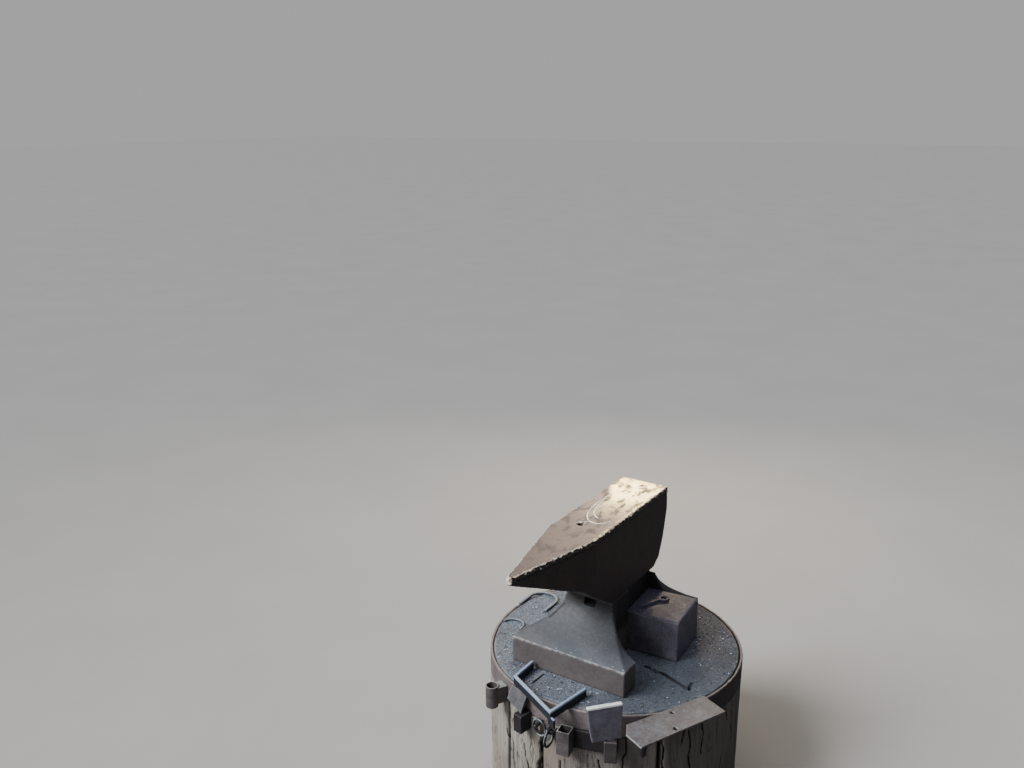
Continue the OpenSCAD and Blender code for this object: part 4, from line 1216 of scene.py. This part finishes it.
class ANVIL_OT_stage(bpy.types.Operator):
    """Make the camera, the soft lights and the pale floor"""
    bl_idname = "anvil.stage"
    bl_label = "Stage"

    def execute(self, context):
        stage = context.scene.anvil_stage
        self.camera(context, stage)
        self.far_light("side_light", stage.side_light, (0.96, 0.98, 1.0), 142, 43, 28)
        self.light("top_light", stage.top_light, (0.97, 0.96, 1.0),
                   (0.0, 0.2, 3.3), (0.0, 0, 0.5), 3.0, 3.0)
        self.light("front_light", stage.front_light, (0.93, 0.95, 1.0),
                   (-3.0, 0.45, 1.5), (0.0, 0, 0.4), 1.5, 1.5)
        self.light("back_light", stage.back_light, (1.0, 0.84, 0.56),
                   (2.10, 0.95, 1.62), (0.12, 0, 0.7), 0.7, 0.6)
        self.room(context, stage)
        self.floor()
        return {"FINISHED"}

    def room(self, context, stage):
        """Faint light from all around, and a pale room behind the floor"""
        world = bpy.data.worlds.new("soft_room")
        world.use_nodes = True
        tree = world.node_tree
        faint = tree.nodes["Background"]
        faint.inputs["Color"].default_value = (0.80, 0.86, 1.0, 1.0)
        faint.inputs["Strength"].default_value = stage.room_light
        seen = place(tree, "ShaderNodeBackground",
                     {"Color": (0.905, 0.905, 0.905, 1.0), "Strength": stage.room_bright})
        path = tree.nodes.new("ShaderNodeLightPath").outputs["Is Camera Ray"]
        both = place(tree, "ShaderNodeMixShader", {0: path, 1: faint.outputs[0], 2: seen.outputs[0]})
        tree.links.new(both.outputs[0], tree.nodes["World Output"].inputs["Surface"])
        context.scene.world = world

    def camera(self, context, stage):
        """A camera at the height and angle of a person standing before the horn"""
        lens = bpy.data.cameras.new("camera")
        lens.lens = stage.lens
        lens.sensor_width = 36.0
        camera = bpy.data.objects.new("camera", lens)
        context.scene.collection.objects.link(camera)
        turn = (Matrix.Rotation(stage.heading - math.pi / 2, 4, "Z")
                @ Matrix.Rotation(math.pi / 2 - stage.pitch, 4, "X")
                @ Matrix.Rotation(stage.roll, 4, "Z"))
        camera.matrix_world = Matrix.Translation(Vector(stage.camera_place)) @ turn
        context.scene.camera = camera

    def far_light(self, name, strength, colour, bearing, rise, softness):
        """A soft light from far off, at a bearing and a height in degrees"""
        lamp = bpy.data.lights.new(name, "SUN")
        lamp.energy = strength
        lamp.color = colour
        lamp.angle = math.radians(softness)
        holder = bpy.data.objects.new(name, lamp)
        bpy.context.scene.collection.objects.link(holder)
        turn, tilt = math.radians(bearing), math.radians(rise)
        toward = Vector((math.cos(tilt) * math.cos(turn), math.cos(tilt) * math.sin(turn), math.sin(tilt)))
        holder.rotation_euler = (-toward).to_track_quat("-Z", "Y").to_euler()

    def light(self, name, power, colour, place_at, aim, width, height):
        """A soft panel of light that looks at a point"""
        panel = bpy.data.lights.new(name, "AREA")
        panel.shape = "RECTANGLE"
        panel.size, panel.size_y = width, height
        panel.energy = power
        panel.color = colour
        holder = bpy.data.objects.new(name, panel)
        bpy.context.scene.collection.objects.link(holder)
        holder.location = place_at
        holder.rotation_euler = (Vector(aim) - Vector(place_at)).to_track_quat("-Z", "Y").to_euler()

    def floor(self):
        """A wide pale floor that throws little light back"""
        bpy.ops.mesh.primitive_plane_add(size=90, location=(0, 0, 0))
        floor = added("stage_floor")
        material, tree, shader = new_material("stage_floor")
        at = spot(tree)
        tint = mixed(tree, ranged(tree, cloud(tree, at, 2.0), 0.3, 0.7), (0.395, 0.38, 0.365), (0.415, 0.40, 0.385))
        path = tree.nodes.new("ShaderNodeLightPath").outputs["Is Camera Ray"]
        tree.links.new(mixed(tree, path, (0.10, 0.095, 0.09), tint), shader.inputs["Base Color"])
        shader.inputs["Roughness"].default_value = 0.9
        floor.data.materials.append(material)


class ANVIL_PT_panel(bpy.types.Panel):
    """Buttons that make the pieces one after another"""
    bl_label = "Anvil on a Log"
    bl_idname = "ANVIL_PT_panel"
    bl_space_type = "VIEW_3D"
    bl_region_type = "UI"
    bl_category = "Anvil"

    def draw(self, context):
        for group in SETTINGS:
            box = self.layout.box()
            settings = getattr(context.scene, "anvil_" + group)
            for key in settings.bl_rna.properties.keys():
                if key not in ("rna_type", "name"):
                    box.prop(settings, key)
        for operator in OPERATORS:
            self.layout.operator(operator.bl_idname)


OPERATORS = (
    ANVIL_OT_stage,
    ANVIL_OT_log,
    ANVIL_OT_hoop,
    ANVIL_OT_anvil,
    ANVIL_OT_face_marks,
    ANVIL_OT_tool_loop,
    ANVIL_OT_sockets,
    ANVIL_OT_side_plates,
    ANVIL_OT_hook_rings,
    ANVIL_OT_loose_iron,
    ANVIL_OT_scale_flakes,
)


def register():
    for group, settings in SETTINGS.items():
        bpy.utils.register_class(settings)
        setattr(bpy.types.Scene, "anvil_" + group, bpy.props.PointerProperty(type=settings))
    for operator in OPERATORS:
        bpy.utils.register_class(operator)
    bpy.utils.register_class(ANVIL_PT_panel)


def unregister():
    bpy.utils.unregister_class(ANVIL_PT_panel)
    for operator in reversed(OPERATORS):
        bpy.utils.unregister_class(operator)
    for group, settings in SETTINGS.items():
        delattr(bpy.types.Scene, "anvil_" + group)
        bpy.utils.unregister_class(settings)


def main():
    register()
    for operator in OPERATORS:
        section, name = operator.bl_idname.split(".")
        getattr(getattr(bpy.ops, section), name)()


if __name__ == "__main__":
    main()
